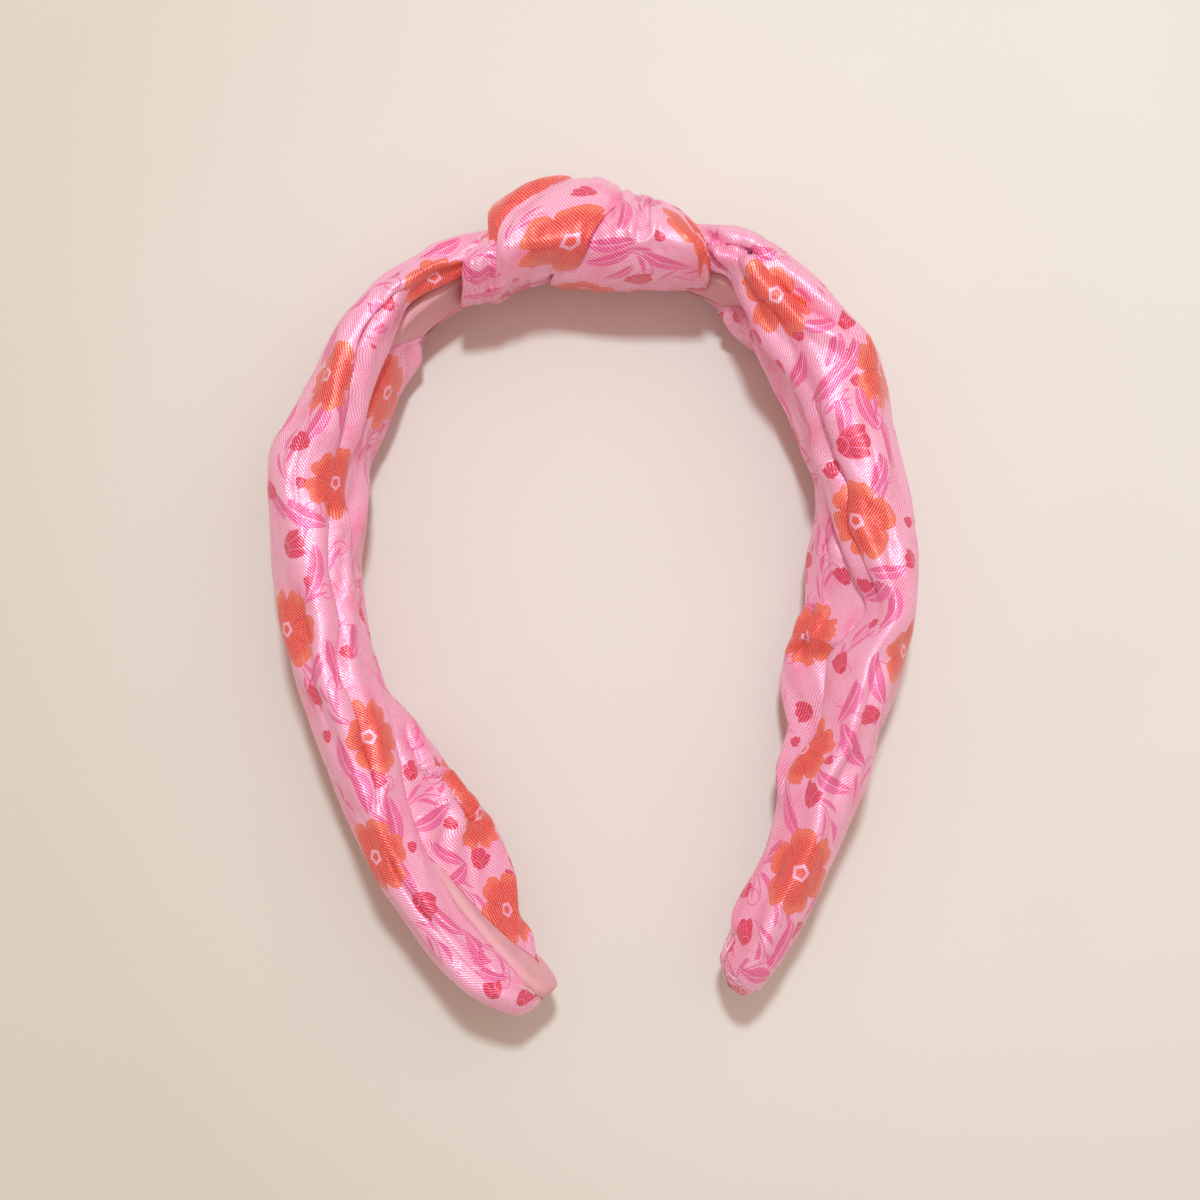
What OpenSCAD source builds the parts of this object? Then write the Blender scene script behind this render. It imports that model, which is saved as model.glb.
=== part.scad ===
// Knotted fabric headband, millimetres. A springy moulded hoop sits in a plain lining sleeve. One
// printed fabric strip is gathered round each arm and tied in a knot a little left of the crown.
// The headband lies on its side: +Z is up, +Y points from the open ends to the knot, +X is right.

/* [Hoop line] */
// Y of the hoop's centreline at the crown
crown_y = 69.5; // [69:0.1:70]
// Height of the hoop's centreline above the surface that the headband lies on
hoop_z = 18; // [18:0.5:19]
// Radii of the left half's four tangent arcs, from the crown to the tip
left_radii = [67, 40, 80, 131]; // [38:1:135]
// Angles that the left half's arcs turn through
left_sweeps = [19, 48.3, 27, 41]; // [18:0.1:50]
// Radii of the right half's four tangent arcs, from the crown to the tip
right_radii = [67, 40, 102, 131]; // [38:1:135]
// Angles that the right half's arcs turn through
right_sweeps = [18, 48, 23.5, 34]; // [17:0.1:50]

/* [Hoop band] */
// Height of the moulded band
band_h = 12; // [11:0.5:12]
// Thickness of the moulded band
band_t = 2; // [1.6:0.1:2]
// Outward lean of the band's upper edge, in degrees
band_lean = 15; // [10:1:16]
// Thickness of the lining sleeve
lining_t = 0.5; // [0.3:0.1:0.5]

/* [Flex] */
// Distance along the band from the crown to where the left arm flexes
left_flex_s = 28; // [28:0.5:29]
// Distance along the band from the crown to where the right arm flexes
right_flex_s = 26.5; // [26:0.5:27]
// Radius of the rounded band end that turns where the arm flexes
flex_r = 3; // [2.9:0.1:3]
// Radial clearance round that end
flex_gap = 0.05; // [0.03:0.01:0.1]
// Angle that each arm opens by
open_angle = 15; // [8:1:15]
// Angle that each arm closes by
close_angle = 3; // [1:0.5:3]

/* [Fabric] */
// Clearance between the fabric and the lining sleeve
channel_gap = 0.4; // [0.3:0.1:0.5]
// Half the angle of the lengthwise slot on the head side, where the lining shows
slot_angle = 28; // [24:1:30]
// Squareness of the fabric's outline: 2 is an ellipse
fullness = 2.3; // [2:0.1:2.6]
// Gap between neighbouring passes of fabric in the knot
pass_gap = 0.3; // [0.2:0.1:0.5]

/* [Hidden] */
$fn = 96;

LEFT = -1;
RIGHT = 1;
sleeve_gap = 0.1;
lined_t = band_t + 2 * lining_t;
lined_h = band_h + 2 * lining_t;
flex_reach = flex_r + 1;
arc_count = 4;

// Fabric round each arm: distance from the crown, then how far it reaches outward, inward, up, down
left_sections = [
    [28, 10, 8, 15, 15], [42, 11.8, 9.4, 17, 17.5], [56, 12.2, 7.7, 18, 18.5], [74, 16, 6, 18, 18.5],
    [98, 14.5, 4.2, 17.5, 18.5], [120, 13.3, 4.8, 17, 18], [134, 13, 9.5, 17, 17.5],
    [152, 13.6, 13, 16, 16.5], [165, 13.8, 12, 14.5, 15], [178, 13.5, 7, 12, 12.5],
    [187, 12, 4.5, 10.5, 10.5]];
right_sections = [
    [26, 12, 9, 15, 15], [42, 13.4, 11, 17, 17.5], [58, 15, 10.3, 18, 18.5], [80, 13, 8.4, 18, 18.5],
    [100, 13.3, 10.6, 17.5, 18.5], [114, 12, 13.5, 17, 18], [134, 9.3, 10.5, 16, 16.5],
    [156, 8.7, 6.5, 14, 14], [181, 8.7, 4.5, 10.5, 10.5]];

// Tangent arcs: heading is the angle turned since the crown
function radii(side) = side == LEFT ? left_radii : right_radii;
function sweeps(side) = side == LEFT ? left_sweeps : right_sweeps;
function arc_len(side, i) = radii(side)[i] * sweeps(side)[i] * PI / 180;
function heading_of(side, i) = i == 0 ? 0 : heading_of(side, i - 1) + sweeps(side)[i - 1];
function start_of(side, i) = i == 0 ? 0 : start_of(side, i - 1) + arc_len(side, i - 1);
function arm_len(side) = start_of(side, arc_count);
function out_dir(h) = [sin(h), cos(h)];
function centre_of(side, i) = i == 0 ? [0, crown_y - radii(side)[0]]
    : centre_of(side, i - 1) + (radii(side)[i - 1] - radii(side)[i]) * out_dir(heading_of(side, i));
function arc_at(side, s, i = 0) =
    i == arc_count - 1 || s < start_of(side, i + 1) ? i : arc_at(side, s, i + 1);
function heading_at(side, s) = let(i = arc_at(side, s))
    heading_of(side, i) + min(s - start_of(side, i), arc_len(side, i)) / radii(side)[i] * 180 / PI;
function centreline(side, s) = let(i = arc_at(side, s), h = heading_at(side, s))
    centre_of(side, i) + radii(side)[i] * out_dir(h)
    + max(0, s - arm_len(side)) * [cos(h), -sin(h)];

// A point at a signed distance s from the crown (left is negative), out outward and up upward
function band_point(s, out, up) = let(
        side = s < 0 ? LEFT : RIGHT,
        p = centreline(side, abs(s)) + out * out_dir(heading_at(side, abs(s))))
    [side * p[0], p[1], hoop_z + max(up, -hoop_z)];

// Places its children at a station of one arm: X away from the crown, Y outward, Z up
module at_station(side, s) {
    p = centreline(side, s);
    mirror([side == LEFT ? 1 : 0, 0, 0])
        translate([p[0], p[1], hoop_z])
            rotate([0, 0, -heading_at(side, s)])
                children();
}

// Faces between rings of n points that start at point number first; dir is 1 outside, -1 inside
function skin(first, rings, n, dir = 1) = [for (i = [0 : rings - 2], j = [0 : n - 1]) let(
        a = first + i * n + j,
        b = first + i * n + (j + 1) % n)
    each dir > 0 ? [[a, b, b + n], [a, b + n, a + n]] : [[a, b + n, b], [a, a + n, b + n]]];
function fan(first, n, dir) = [[for (j = [0 : n - 1]) first + (dir > 0 ? j : n - 1 - j)]];
function washer(outer, inner, n, dir) = [for (j = [0 : n - 1]) let(k = (j + 1) % n)
    each dir > 0 ? [[outer + j, outer + k, inner + k], [outer + j, inner + k, inner + j]]
        : [[outer + j, inner + k, outer + k], [outer + j, inner + j, inner + k]]];
function flat(grid) = [for (ring = grid) each ring];

module solid_sweep(grid) {
    n = len(grid[0]);
    rings = len(grid);
    polyhedron(flat(grid), concat(skin(0, rings, n), fan(0, n, -1), fan((rings - 1) * n, n, 1)));
}

// Sleeve between an outer and an inner grid; it can be closed at its first or its last ring
module sleeve_sweep(outer, inner, close_first = false, close_last = false) {
    n = len(outer[0]);
    rings = len(outer);
    in_first = rings * n;
    end = (rings - 1) * n;
    polyhedron(concat(flat(outer), flat(inner)), concat(
        skin(0, rings, n),
        skin(in_first, rings, n, -1),
        close_first ? concat(fan(0, n, -1), fan(in_first, n, 1)) : washer(0, in_first, n, -1),
        close_last ? concat(fan(end, n, 1), fan(in_first + end, n, -1))
            : washer(end, in_first + end, n, 1)));
}

// Outline of a leaning bar with full-round edges, its middle mid outward of the band's line
edge_n = 6;
function leaned(p) = [p[0] * cos(band_lean) + p[1] * sin(band_lean),
    p[1] * cos(band_lean) - p[0] * sin(band_lean)];
function bar(h, t, mid = 0) = [for (end = [1, -1], k = [0 : edge_n - 1]) let(
        a = 180 * k / (edge_n - 1) + (end > 0 ? 0 : 180))
    leaned([mid - t / 2 * cos(a), t / 2 * sin(a) + end * (h - t) / 2])];

// Rings of a bar that is h by t, from s0 to s1 on one side. It ends in a half-round tip where
// tip is the radius: from there the bar gets lower, down to its own thickness.
ring_gap = 4;
tip_rings = 5;
function tip_height(h, t, angle) = t + (h - t) * cos(angle);
function bar_grid(side, s0, s1, h, t, tip = 0, mid = 0) = let(
        straight = s1 - tip,
        count = ceil((straight - s0) / ring_gap),
        body = [for (i = [0 : count]) [s0 + (straight - s0) * i / count, h]],
        round = tip == 0 ? [] : [for (i = [1 : tip_rings]) let(angle = 90 * i / tip_rings)
            [straight + tip * sin(angle), tip_height(h, t, angle)]],
        stations = concat(body, round),
        order = side == LEFT ? [len(stations) - 1 : -1 : 0] : [0 : len(stations) - 1])
    [for (i = order) [for (p = bar(stations[i][1], t, mid))
        band_point(side * stations[i][0], p[0], p[1])]];

// The whole crown is one sweep through s = 0
function crown_grid(h, t, left_s, right_s) = concat(
    bar_grid(LEFT, 0.001, left_s, h, t),
    bar_grid(RIGHT, 0.001, right_s, h, t));

// The arm's half of the flex point: its round end is kept, the rest of the crown's side is cut away
module hoop_arm(side, flex_s) {
    color("#d9d4cc")
        difference() {
            solid_sweep(bar_grid(side, flex_s - flex_reach, arm_len(side) + band_h / 2,
                band_h, band_t, band_h / 2));
            at_station(side, flex_s)
                difference() {
                    translate([-2 * flex_reach, -band_h, -band_h])
                        cube([2 * flex_reach, 2 * band_h, 2 * band_h]);
                    cylinder(r = flex_r, h = 3 * band_h, center = true);
                }
        }
}

module lining_arm(side, flex_s) {
    tip = band_h / 2;
    color("#d3958c")
        sleeve_sweep(
            bar_grid(side, flex_s + flex_reach, arm_len(side) + tip + lining_t, lined_h, lined_t,
                tip + lining_t),
            bar_grid(side, flex_s + flex_reach, arm_len(side) + tip + sleeve_gap,
                band_h + 2 * sleeve_gap, band_t + 2 * sleeve_gap, tip + sleeve_gap),
            close_first = side == LEFT, close_last = side == RIGHT);
}

function smooth(t) = t * t * (3 - 2 * t);
function row_at(rows, s, i = 0) = i >= len(rows) - 2 || s < rows[i + 1][0] ? i : row_at(rows, s, i + 1);
function size_at(rows, s) = let(
        i = row_at(rows, s),
        t = (s - rows[i][0]) / (rows[i + 1][0] - rows[i][0]))
    rows[i] + smooth(min(max(t, 0), 1)) * (rows[i + 1] - rows[i]);

// Rounded outline point: angle 0 is the head side, 90 is the top; size is [-, out, in, up, down]
function bulge(x) = sign(x) * pow(abs(x), 2 / fullness);
function outline(size, a) = let(across = bulge(-cos(a)), tall = bulge(sin(a)))
    [(size[1] - size[2]) / 2 + across * (size[1] + size[2]) / 2, tall * (tall > 0 ? size[3] : size[4])];

// Channel for the lined band: a U that opens to the head side, in the band's own lean
outline_n = 15;
corner_j = 3;
channel_t = lined_t / 2 + channel_gap;
channel_h = lined_h / 2 + channel_gap;
function channel(j) = let(side_n = outline_n - 1 - 2 * corner_j)
    leaned(j <= corner_j ? [channel_t * (2 * j / corner_j - 1), channel_h]
        : j < outline_n - 1 - corner_j ? [channel_t, channel_h * (1 - 2 * (j - corner_j) / side_n)]
        : [channel_t * (2 * (outline_n - 1 - j) / corner_j - 1), -channel_h]);

// Room that the arm's fabric leaves for the arm to open and close
function cut_back(out) = out > 0 ? out * tan(open_angle + 1) : -out * tan(close_angle + 1);

// Gathered fabric round one arm: solid, but for the channel that the lined band lies in
module arm_fabric(side, flex_s, end_s, rows, rings) {
    lip = [for (j = [0 : outline_n - 1]) slot_angle + (360 - 2 * slot_angle) * j / (outline_n - 1)];
    grid = [for (i = [0 : rings - 1]) let(
            u = side == LEFT ? 1 - i / (rings - 1) : i / (rings - 1),
            size = size_at(rows, flex_s + u * (end_s - flex_s)),
            loop = concat([for (a = lip) outline(size, a)],
                [for (j = [outline_n - 1 : -1 : 0]) channel(j)]))
        [for (p = loop) let(first = flex_s + 2 * pass_gap + cut_back(p[0]))
            band_point(side * (first + u * (end_s - first)), p[0], p[1])]];
    loop_n = 2 * outline_n;
    end = (rings - 1) * loop_n;
    caps = [for (j = [0 : outline_n - 2]) let(a = j, b = j + 1, c = loop_n - 2 - j, d = loop_n - 1 - j)
        each [[a, d, c], [a, c, b], [end + a, end + c, end + d], [end + a, end + b, end + c]]];
    polyhedron(flat(grid), concat(skin(0, rings, loop_n), caps));
}

// One pass of fabric round the lined band in the knot, a barrel with a leaning rectangular hole.
// s0 and s1 are its ends; slant0 and slant1 shift each end along the band per unit outward.
pass_n = 28;
pass_rings = 9;
function hole_point(a) = let(x = -cos(a), y = sin(a))
    leaned([x, y] / max(abs(x) / channel_t, abs(y) / channel_h));
module knot_pass(s0, s1, slant0, slant1, size, pinch) {
    function place(p, u) = let(from = s0 + slant0 * p[0], to = s1 + slant1 * p[0])
        band_point(from + u * (to - from), p[0], p[1]);
    angles = [for (j = [0 : pass_n - 1]) 360 * j / pass_n];
    steps = [for (i = [0 : pass_rings - 1]) i / (pass_rings - 1)];
    sleeve_sweep(
        [for (u = steps) let(swell = pinch + (1 - pinch) * pow(sin(180 * u), 0.6))
            [for (a = angles) place(outline(swell * size, a), u)]],
        [for (u = steps) [for (a = angles) place(hole_point(a), u)]]);
}

// Folded end of an arm's fabric: a solid pad from s0 to s1, centred mid outward of the band
tuck_n = 16;
tuck_rings = 7;
module end_tuck(s0, s1, mid, wide, tall) {
    size = [0, wide / 2, wide / 2, tall / 2, tall / 2];
    solid_sweep([for (i = [0 : tuck_rings - 1]) let(
            u = i / (tuck_rings - 1),
            swell = pow(cos(90 * min(0.97, abs(u - (s0 < 0 ? 1 : 0)))), 0.4))
        [for (j = [0 : tuck_n - 1]) let(p = outline(swell * size, 360 * j / tuck_n))
            band_point(s0 + u * (s1 - s0), mid + p[0], p[1])]]);
}

// Glue on the lining's outer face, from s0 to s1
glue_lift = 0.05;
glue_t = 0.25;
glue_h = 6;
module glue(side, s0, s1) {
    color("#efe6cf")
        solid_sweep(bar_grid(side, s0, s1, glue_h, glue_t, 0, (lined_t + glue_t) / 2 + glue_lift));
}

module hoop_crown() {
    color("#d9d4cc")
        difference() {
            solid_sweep(crown_grid(band_h, band_t, left_flex_s, right_flex_s));
            at_station(LEFT, left_flex_s)
                cylinder(r = flex_r + flex_gap, h = 3 * band_h, center = true);
            at_station(RIGHT, right_flex_s)
                cylinder(r = flex_r + flex_gap, h = 3 * band_h, center = true);
        }
}

module hoop_left_arm() {
    hoop_arm(LEFT, left_flex_s);
}

module hoop_right_arm() {
    hoop_arm(RIGHT, right_flex_s);
}

module lining_crown() {
    left_s = left_flex_s - flex_reach;
    right_s = right_flex_s - flex_reach;
    color("#d3958c")
        sleeve_sweep(crown_grid(lined_h, lined_t, left_s, right_s),
            crown_grid(band_h + 2 * sleeve_gap, band_t + 2 * sleeve_gap, left_s, right_s));
}

module lining_left_arm() {
    lining_arm(LEFT, left_flex_s);
}

module lining_right_arm() {
    lining_arm(RIGHT, right_flex_s);
}

module left_arm_fabric() {
    color("#eaa6c6")
        arm_fabric(LEFT, left_flex_s, 187, left_sections, 40);
}

module right_arm_fabric() {
    color("#eaa6c6")
        arm_fabric(RIGHT, right_flex_s, 181, right_sections, 38);
}

module left_end_tuck() {
    color("#e2486f")
        end_tuck(-194, -187.5, 7.6, 8, 15);
}

module right_end_tuck() {
    color("#e2486f")
        end_tuck(181.5, 187, 3, 10, 17);
}

module knot_left_lobe() {
    color("#f0b4cf")
        knot_pass(-18.7, -1.8 - pass_gap, 0.05, 0.38, [0, 16.8, 6.4, 20, 20], 0.76);
}

module knot_right_lobe() {
    color("#ee9fc2")
        knot_pass(-1.8, right_flex_s - 2 * pass_gap, 0.38, -0.05, [0, 13.8, 6.8, 20, 20], 0.8);
}

module knot_under_pass() {
    color("#e2583e")
        knot_pass(-23, -19, 0.05, 0.05, [0, 13.5, 6.2, 17.5, 17.5], 0.88);
}

module knot_neck_pass() {
    color("#e98bb0")
        knot_pass(0.6 - left_flex_s, -23.3, -0.02, 0.05, [0, 10.2, 6, 15.5, 15.5], 0.9);
}

module knot_glue_line() {
    glue(RIGHT, 2, 16);
}

module left_glue_line() {
    glue(LEFT, 150, 178);
}

module right_glue_line() {
    glue(RIGHT, 146, 170);
}

// Hand stitches along the band's lower edge that hold the knot to the lining
stitch_d = 0.3;
stitch_l = 1.6;
module knot_tack_stitches() {
    color("#d85a8c")
        for (s = [6, 9, 12])
            at_station(LEFT, s)
                rotate([-band_lean, 0, 0])
                    translate([0, 0, -(lined_h + stitch_d) / 2 - glue_lift])
                        rotate([0, 90, 0])
                            cylinder(d = stitch_d, h = stitch_l, center = true);
}

hoop_crown();
hoop_left_arm();
hoop_right_arm();
lining_crown();
lining_left_arm();
lining_right_arm();
left_arm_fabric();
right_arm_fabric();
left_end_tuck();
right_end_tuck();
knot_left_lobe();
knot_right_lobe();
knot_under_pass();
knot_neck_pass();
knot_glue_line();
left_glue_line();
right_glue_line();
knot_tack_stitches();
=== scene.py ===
"""A knotted satin headband that lies on its side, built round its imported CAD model.

Lengths are millimetres until build() and frayed() turn them into metres. A point of the fabric on
an arm is given by s, the distance along the hoop from the crown (negative on the left), out, the
distance outward from the hoop's line, and up, the height above it. "As seen from above" means as
the camera sees it, on the level of the fabric's top.
"""
import math

import bpy
import numpy as np
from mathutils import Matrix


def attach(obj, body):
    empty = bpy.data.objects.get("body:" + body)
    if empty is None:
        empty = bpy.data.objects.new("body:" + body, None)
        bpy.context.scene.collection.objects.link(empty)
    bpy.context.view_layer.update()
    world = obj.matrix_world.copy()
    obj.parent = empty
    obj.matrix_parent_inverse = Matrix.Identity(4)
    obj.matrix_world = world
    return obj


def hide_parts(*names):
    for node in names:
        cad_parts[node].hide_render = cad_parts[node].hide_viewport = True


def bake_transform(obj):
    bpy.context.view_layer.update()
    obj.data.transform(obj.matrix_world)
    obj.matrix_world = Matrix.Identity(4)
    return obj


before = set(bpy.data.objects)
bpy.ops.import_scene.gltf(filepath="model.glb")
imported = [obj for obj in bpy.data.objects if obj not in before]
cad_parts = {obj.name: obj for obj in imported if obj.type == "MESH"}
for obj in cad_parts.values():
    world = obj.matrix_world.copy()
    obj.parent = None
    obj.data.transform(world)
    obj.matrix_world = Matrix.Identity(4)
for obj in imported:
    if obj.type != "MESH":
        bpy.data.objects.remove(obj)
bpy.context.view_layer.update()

MM = 0.001
FAR = 1e6

# --- camera
CAMERA_AT = (1.545, -0.72, 548)
CAMERA_LENS = 77.2

camera = bpy.data.objects.new("camera", bpy.data.cameras.new("camera"))
camera.data.lens = CAMERA_LENS
camera.data.clip_start = 0.01
camera.location = [v * MM for v in CAMERA_AT]
bpy.context.collection.objects.link(camera)
bpy.context.scene.camera = camera

# --- hoop line
LEFT, RIGHT = -1, 1
RADII = {LEFT: (67, 40, 80, 131), RIGHT: (67, 40, 102, 131)}
SWEEPS = {LEFT: (19, 48.3, 27, 41), RIGHT: (18, 48, 23.5, 34)}
CROWN_Y = 69.5
HOOP_Z = 18
BAND_LEAN = math.radians(15)
FLEX_S = {LEFT: 28, RIGHT: 26.5}
ARM_BODY = {LEFT: "left_arm", RIGHT: "right_arm"}


def hoop_line(side, s):
    """The hoop's line at distances s from the crown: x away from the crown, y, and the heading."""
    s = np.asarray(s, float)
    x, y, heading = np.zeros_like(s), np.zeros_like(s), np.zeros_like(s)
    centre_x, centre_y, turned, start, last = 0.0, CROWN_Y, 0.0, 0.0, 0.0
    for radius, sweep in zip(RADII[side], np.radians(SWEEPS[side])):
        centre_x += (last - radius) * math.sin(turned)
        centre_y += (last - radius) * math.cos(turned)
        on = s >= start
        angle = turned + np.clip(s[on] - start, 0, radius * sweep) / radius
        past = np.maximum(s[on] - start - radius * sweep, 0)
        x[on] = centre_x + radius * np.sin(angle) + past * np.cos(angle)
        y[on] = centre_y + radius * np.cos(angle) - past * np.sin(angle)
        heading[on] = angle
        turned, start, last = turned + sweep, start + radius * sweep, radius
    return x, y, heading


def place(s, out, up):
    """Points in the frame, in millimetres, for arrays of s, out and up."""
    s, out, up = np.broadcast_arrays(np.asarray(s, float), out, up)
    xyz = np.zeros(s.shape + (3,))
    for side, on in ((LEFT, s < 0), (RIGHT, s >= 0)):
        x, y, heading = hoop_line(side, np.abs(s[on]))
        xyz[on, 0] = side * (x + out[on] * np.sin(heading))
        xyz[on, 1] = y + out[on] * np.cos(heading)
        xyz[on, 2] = HOOP_Z + up[on]
    return xyz


# --- smooth numbers
def along(rows, s):
    """Rows of (distance, values...) read off smoothly at each distance s, with no overshoot."""
    rows = np.asarray(rows, float)
    at, values = rows[:, 0], rows[:, 1:]
    slope = np.diff(values, axis=0) / np.diff(at)[:, None]
    middle = (slope[1:] + slope[:-1]) / 2
    middle[slope[1:] * slope[:-1] <= 0] = 0
    tangent = np.vstack([slope[:1], middle, slope[-1:]])
    i = np.clip(np.searchsorted(at, s) - 1, 0, len(at) - 2)
    gap = (at[i + 1] - at[i])[:, None]
    t = np.clip((s - at[i]) / (at[i + 1] - at[i]), 0, 1)[:, None]
    return ((2 * t**3 - 3 * t**2 + 1) * values[i] + (t**3 - 2 * t**2 + t) * gap * tangent[i]
            + (3 * t**2 - 2 * t**3) * values[i + 1] + (t**3 - t**2) * gap * tangent[i + 1])


def ramp(x, low, high):
    """0 before low, 1 after high, smooth between."""
    t = np.clip((np.asarray(x, float) - low) / (high - low), 0, 1)
    return t * t * (3 - 2 * t)


def outline(points, counts, closed=False):
    """A smooth curve through each row's points, with counts[k] steps from point k to the next.
    points is (rows, points, 2)."""
    if closed:
        points = np.concatenate([points[:, -1:], points, points[:, :2]], axis=1)
    step = np.diff(points, axis=1)
    gap = np.sqrt(np.maximum(np.linalg.norm(step, axis=2, keepdims=True), 1e-6))
    speed = step / gap
    inner = (speed[:, :-1] * gap[:, 1:] + speed[:, 1:] * gap[:, :-1]) / (gap[:, :-1] + gap[:, 1:])
    tangent = np.concatenate([speed[:, :1], inner, speed[:, -1:]], axis=1)
    parts = []
    first = 1 if closed else 0
    for k, count in enumerate(counts):
        k += first
        t = (np.arange(count) / count)[None, :, None]
        a, b, h = points[:, k:k + 1], points[:, k + 1:k + 2], gap[:, k:k + 1]
        parts.append((2 * t**3 - 3 * t**2 + 1) * a + (t**3 - 2 * t**2 + t) * h * tangent[:, k:k + 1]
                     + (3 * t**2 - 2 * t**3) * b
                     + (t**3 - t**2) * h * tangent[:, k + 1:k + 2])
    if not closed:
        parts.append(points[:, -1:])
    return np.concatenate(parts, axis=1)


def ripples(u, w, seed, length, width, count=12):
    """Soft random folds of height about 1: each is about length long and width wide."""
    rng = np.random.default_rng(seed)
    total = np.zeros(np.broadcast(u, w).shape)
    for _ in range(count):
        a, b = rng.uniform(0.6, 1.7, 2)
        lean = rng.choice([-1, 1])
        total += np.sin(2 * np.pi * (lean * u / (length * a) + w / (width * b))
                        + rng.uniform(0, 2 * np.pi))
    return total / math.sqrt(count / 2)


def normals(xyz, closed=False):
    """Unit normals of a grid of points, turned so that they point up at its highest point."""
    if closed:
        ring = np.concatenate([xyz[:, -1:], xyz, xyz[:, :1]], axis=1)
        across = np.gradient(ring, axis=1)[:, 1:-1]
    else:
        across = np.gradient(xyz, axis=1)
    n = np.cross(across, np.gradient(xyz, axis=0))
    n /= np.maximum(np.linalg.norm(n, axis=2, keepdims=True), 1e-9)
    top = xyz[..., 2] > np.quantile(xyz[..., 2], 0.9)
    return n if n[..., 2][top].sum() > 0 else -n


def arc_length(xyz, axis):
    """Distance along a grid's lines from its first point, along one axis."""
    step = np.linalg.norm(np.diff(xyz, axis=axis), axis=2)
    start = np.zeros_like(np.take(step, [0], axis=axis))
    return np.concatenate([start, np.cumsum(step, axis=axis)], axis=axis)


# --- creases
def dent(xyz, n, line, depth, width, fade=2.5):
    """Presses a crease into the upward side of a grid along line, rows of (x, y). A negative depth
    raises a ridge."""
    line = np.asarray(line, float)
    plan = xyz[..., :2]
    best = np.full(plan.shape[:2], FAR)
    ends = np.minimum(*(np.linalg.norm(plan - end, axis=2) for end in (line[0], line[-1])))
    for a, b in zip(line[:-1], line[1:]):
        t = np.clip(((plan - a) @ (b - a)) / ((b - a) @ (b - a)), 0, 1)
        best = np.minimum(best, np.linalg.norm(plan - (a + t[..., None] * (b - a)), axis=2))
    valley = -depth * np.exp(-best / width) * ramp(ends, 0, fade) * ramp(n[..., 2], 0.0, 0.3)
    bulge = 0.4 * depth * np.exp(-((best - 2.6 * width) / (1.4 * width))**2)
    bulge *= ramp(ends, 0, fade) * ramp(n[..., 2], 0.0, 0.3)
    return xyz + (valley + bulge)[..., None] * n


# --- print
PRINT_LEVEL = 31  # height that the listed motifs' places are given for
TIP_CLEAR = -66  # the tips beyond this y have no scattered flowers
NO_MOTIF = 9  # place in a motif that lies outside every shape
MOTIF_REACH = 1.9  # how far from its middle a motif is drawn, in sizes
TURNED_ROWS = 6  # rows at each end of a knot pass that turn under
SCATTER_TRIES = 1500
SCATTER_ROOM = {"flower": 22.0, "bud": 9.35, "leaf": 8.8, "sprig": 10.45}
SCATTER_SIZE = {"flower": (6.5, 7.5), "bud": (1.5, 2.9), "leaf": (3.6, 5.2), "sprig": (5, 7)}


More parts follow.
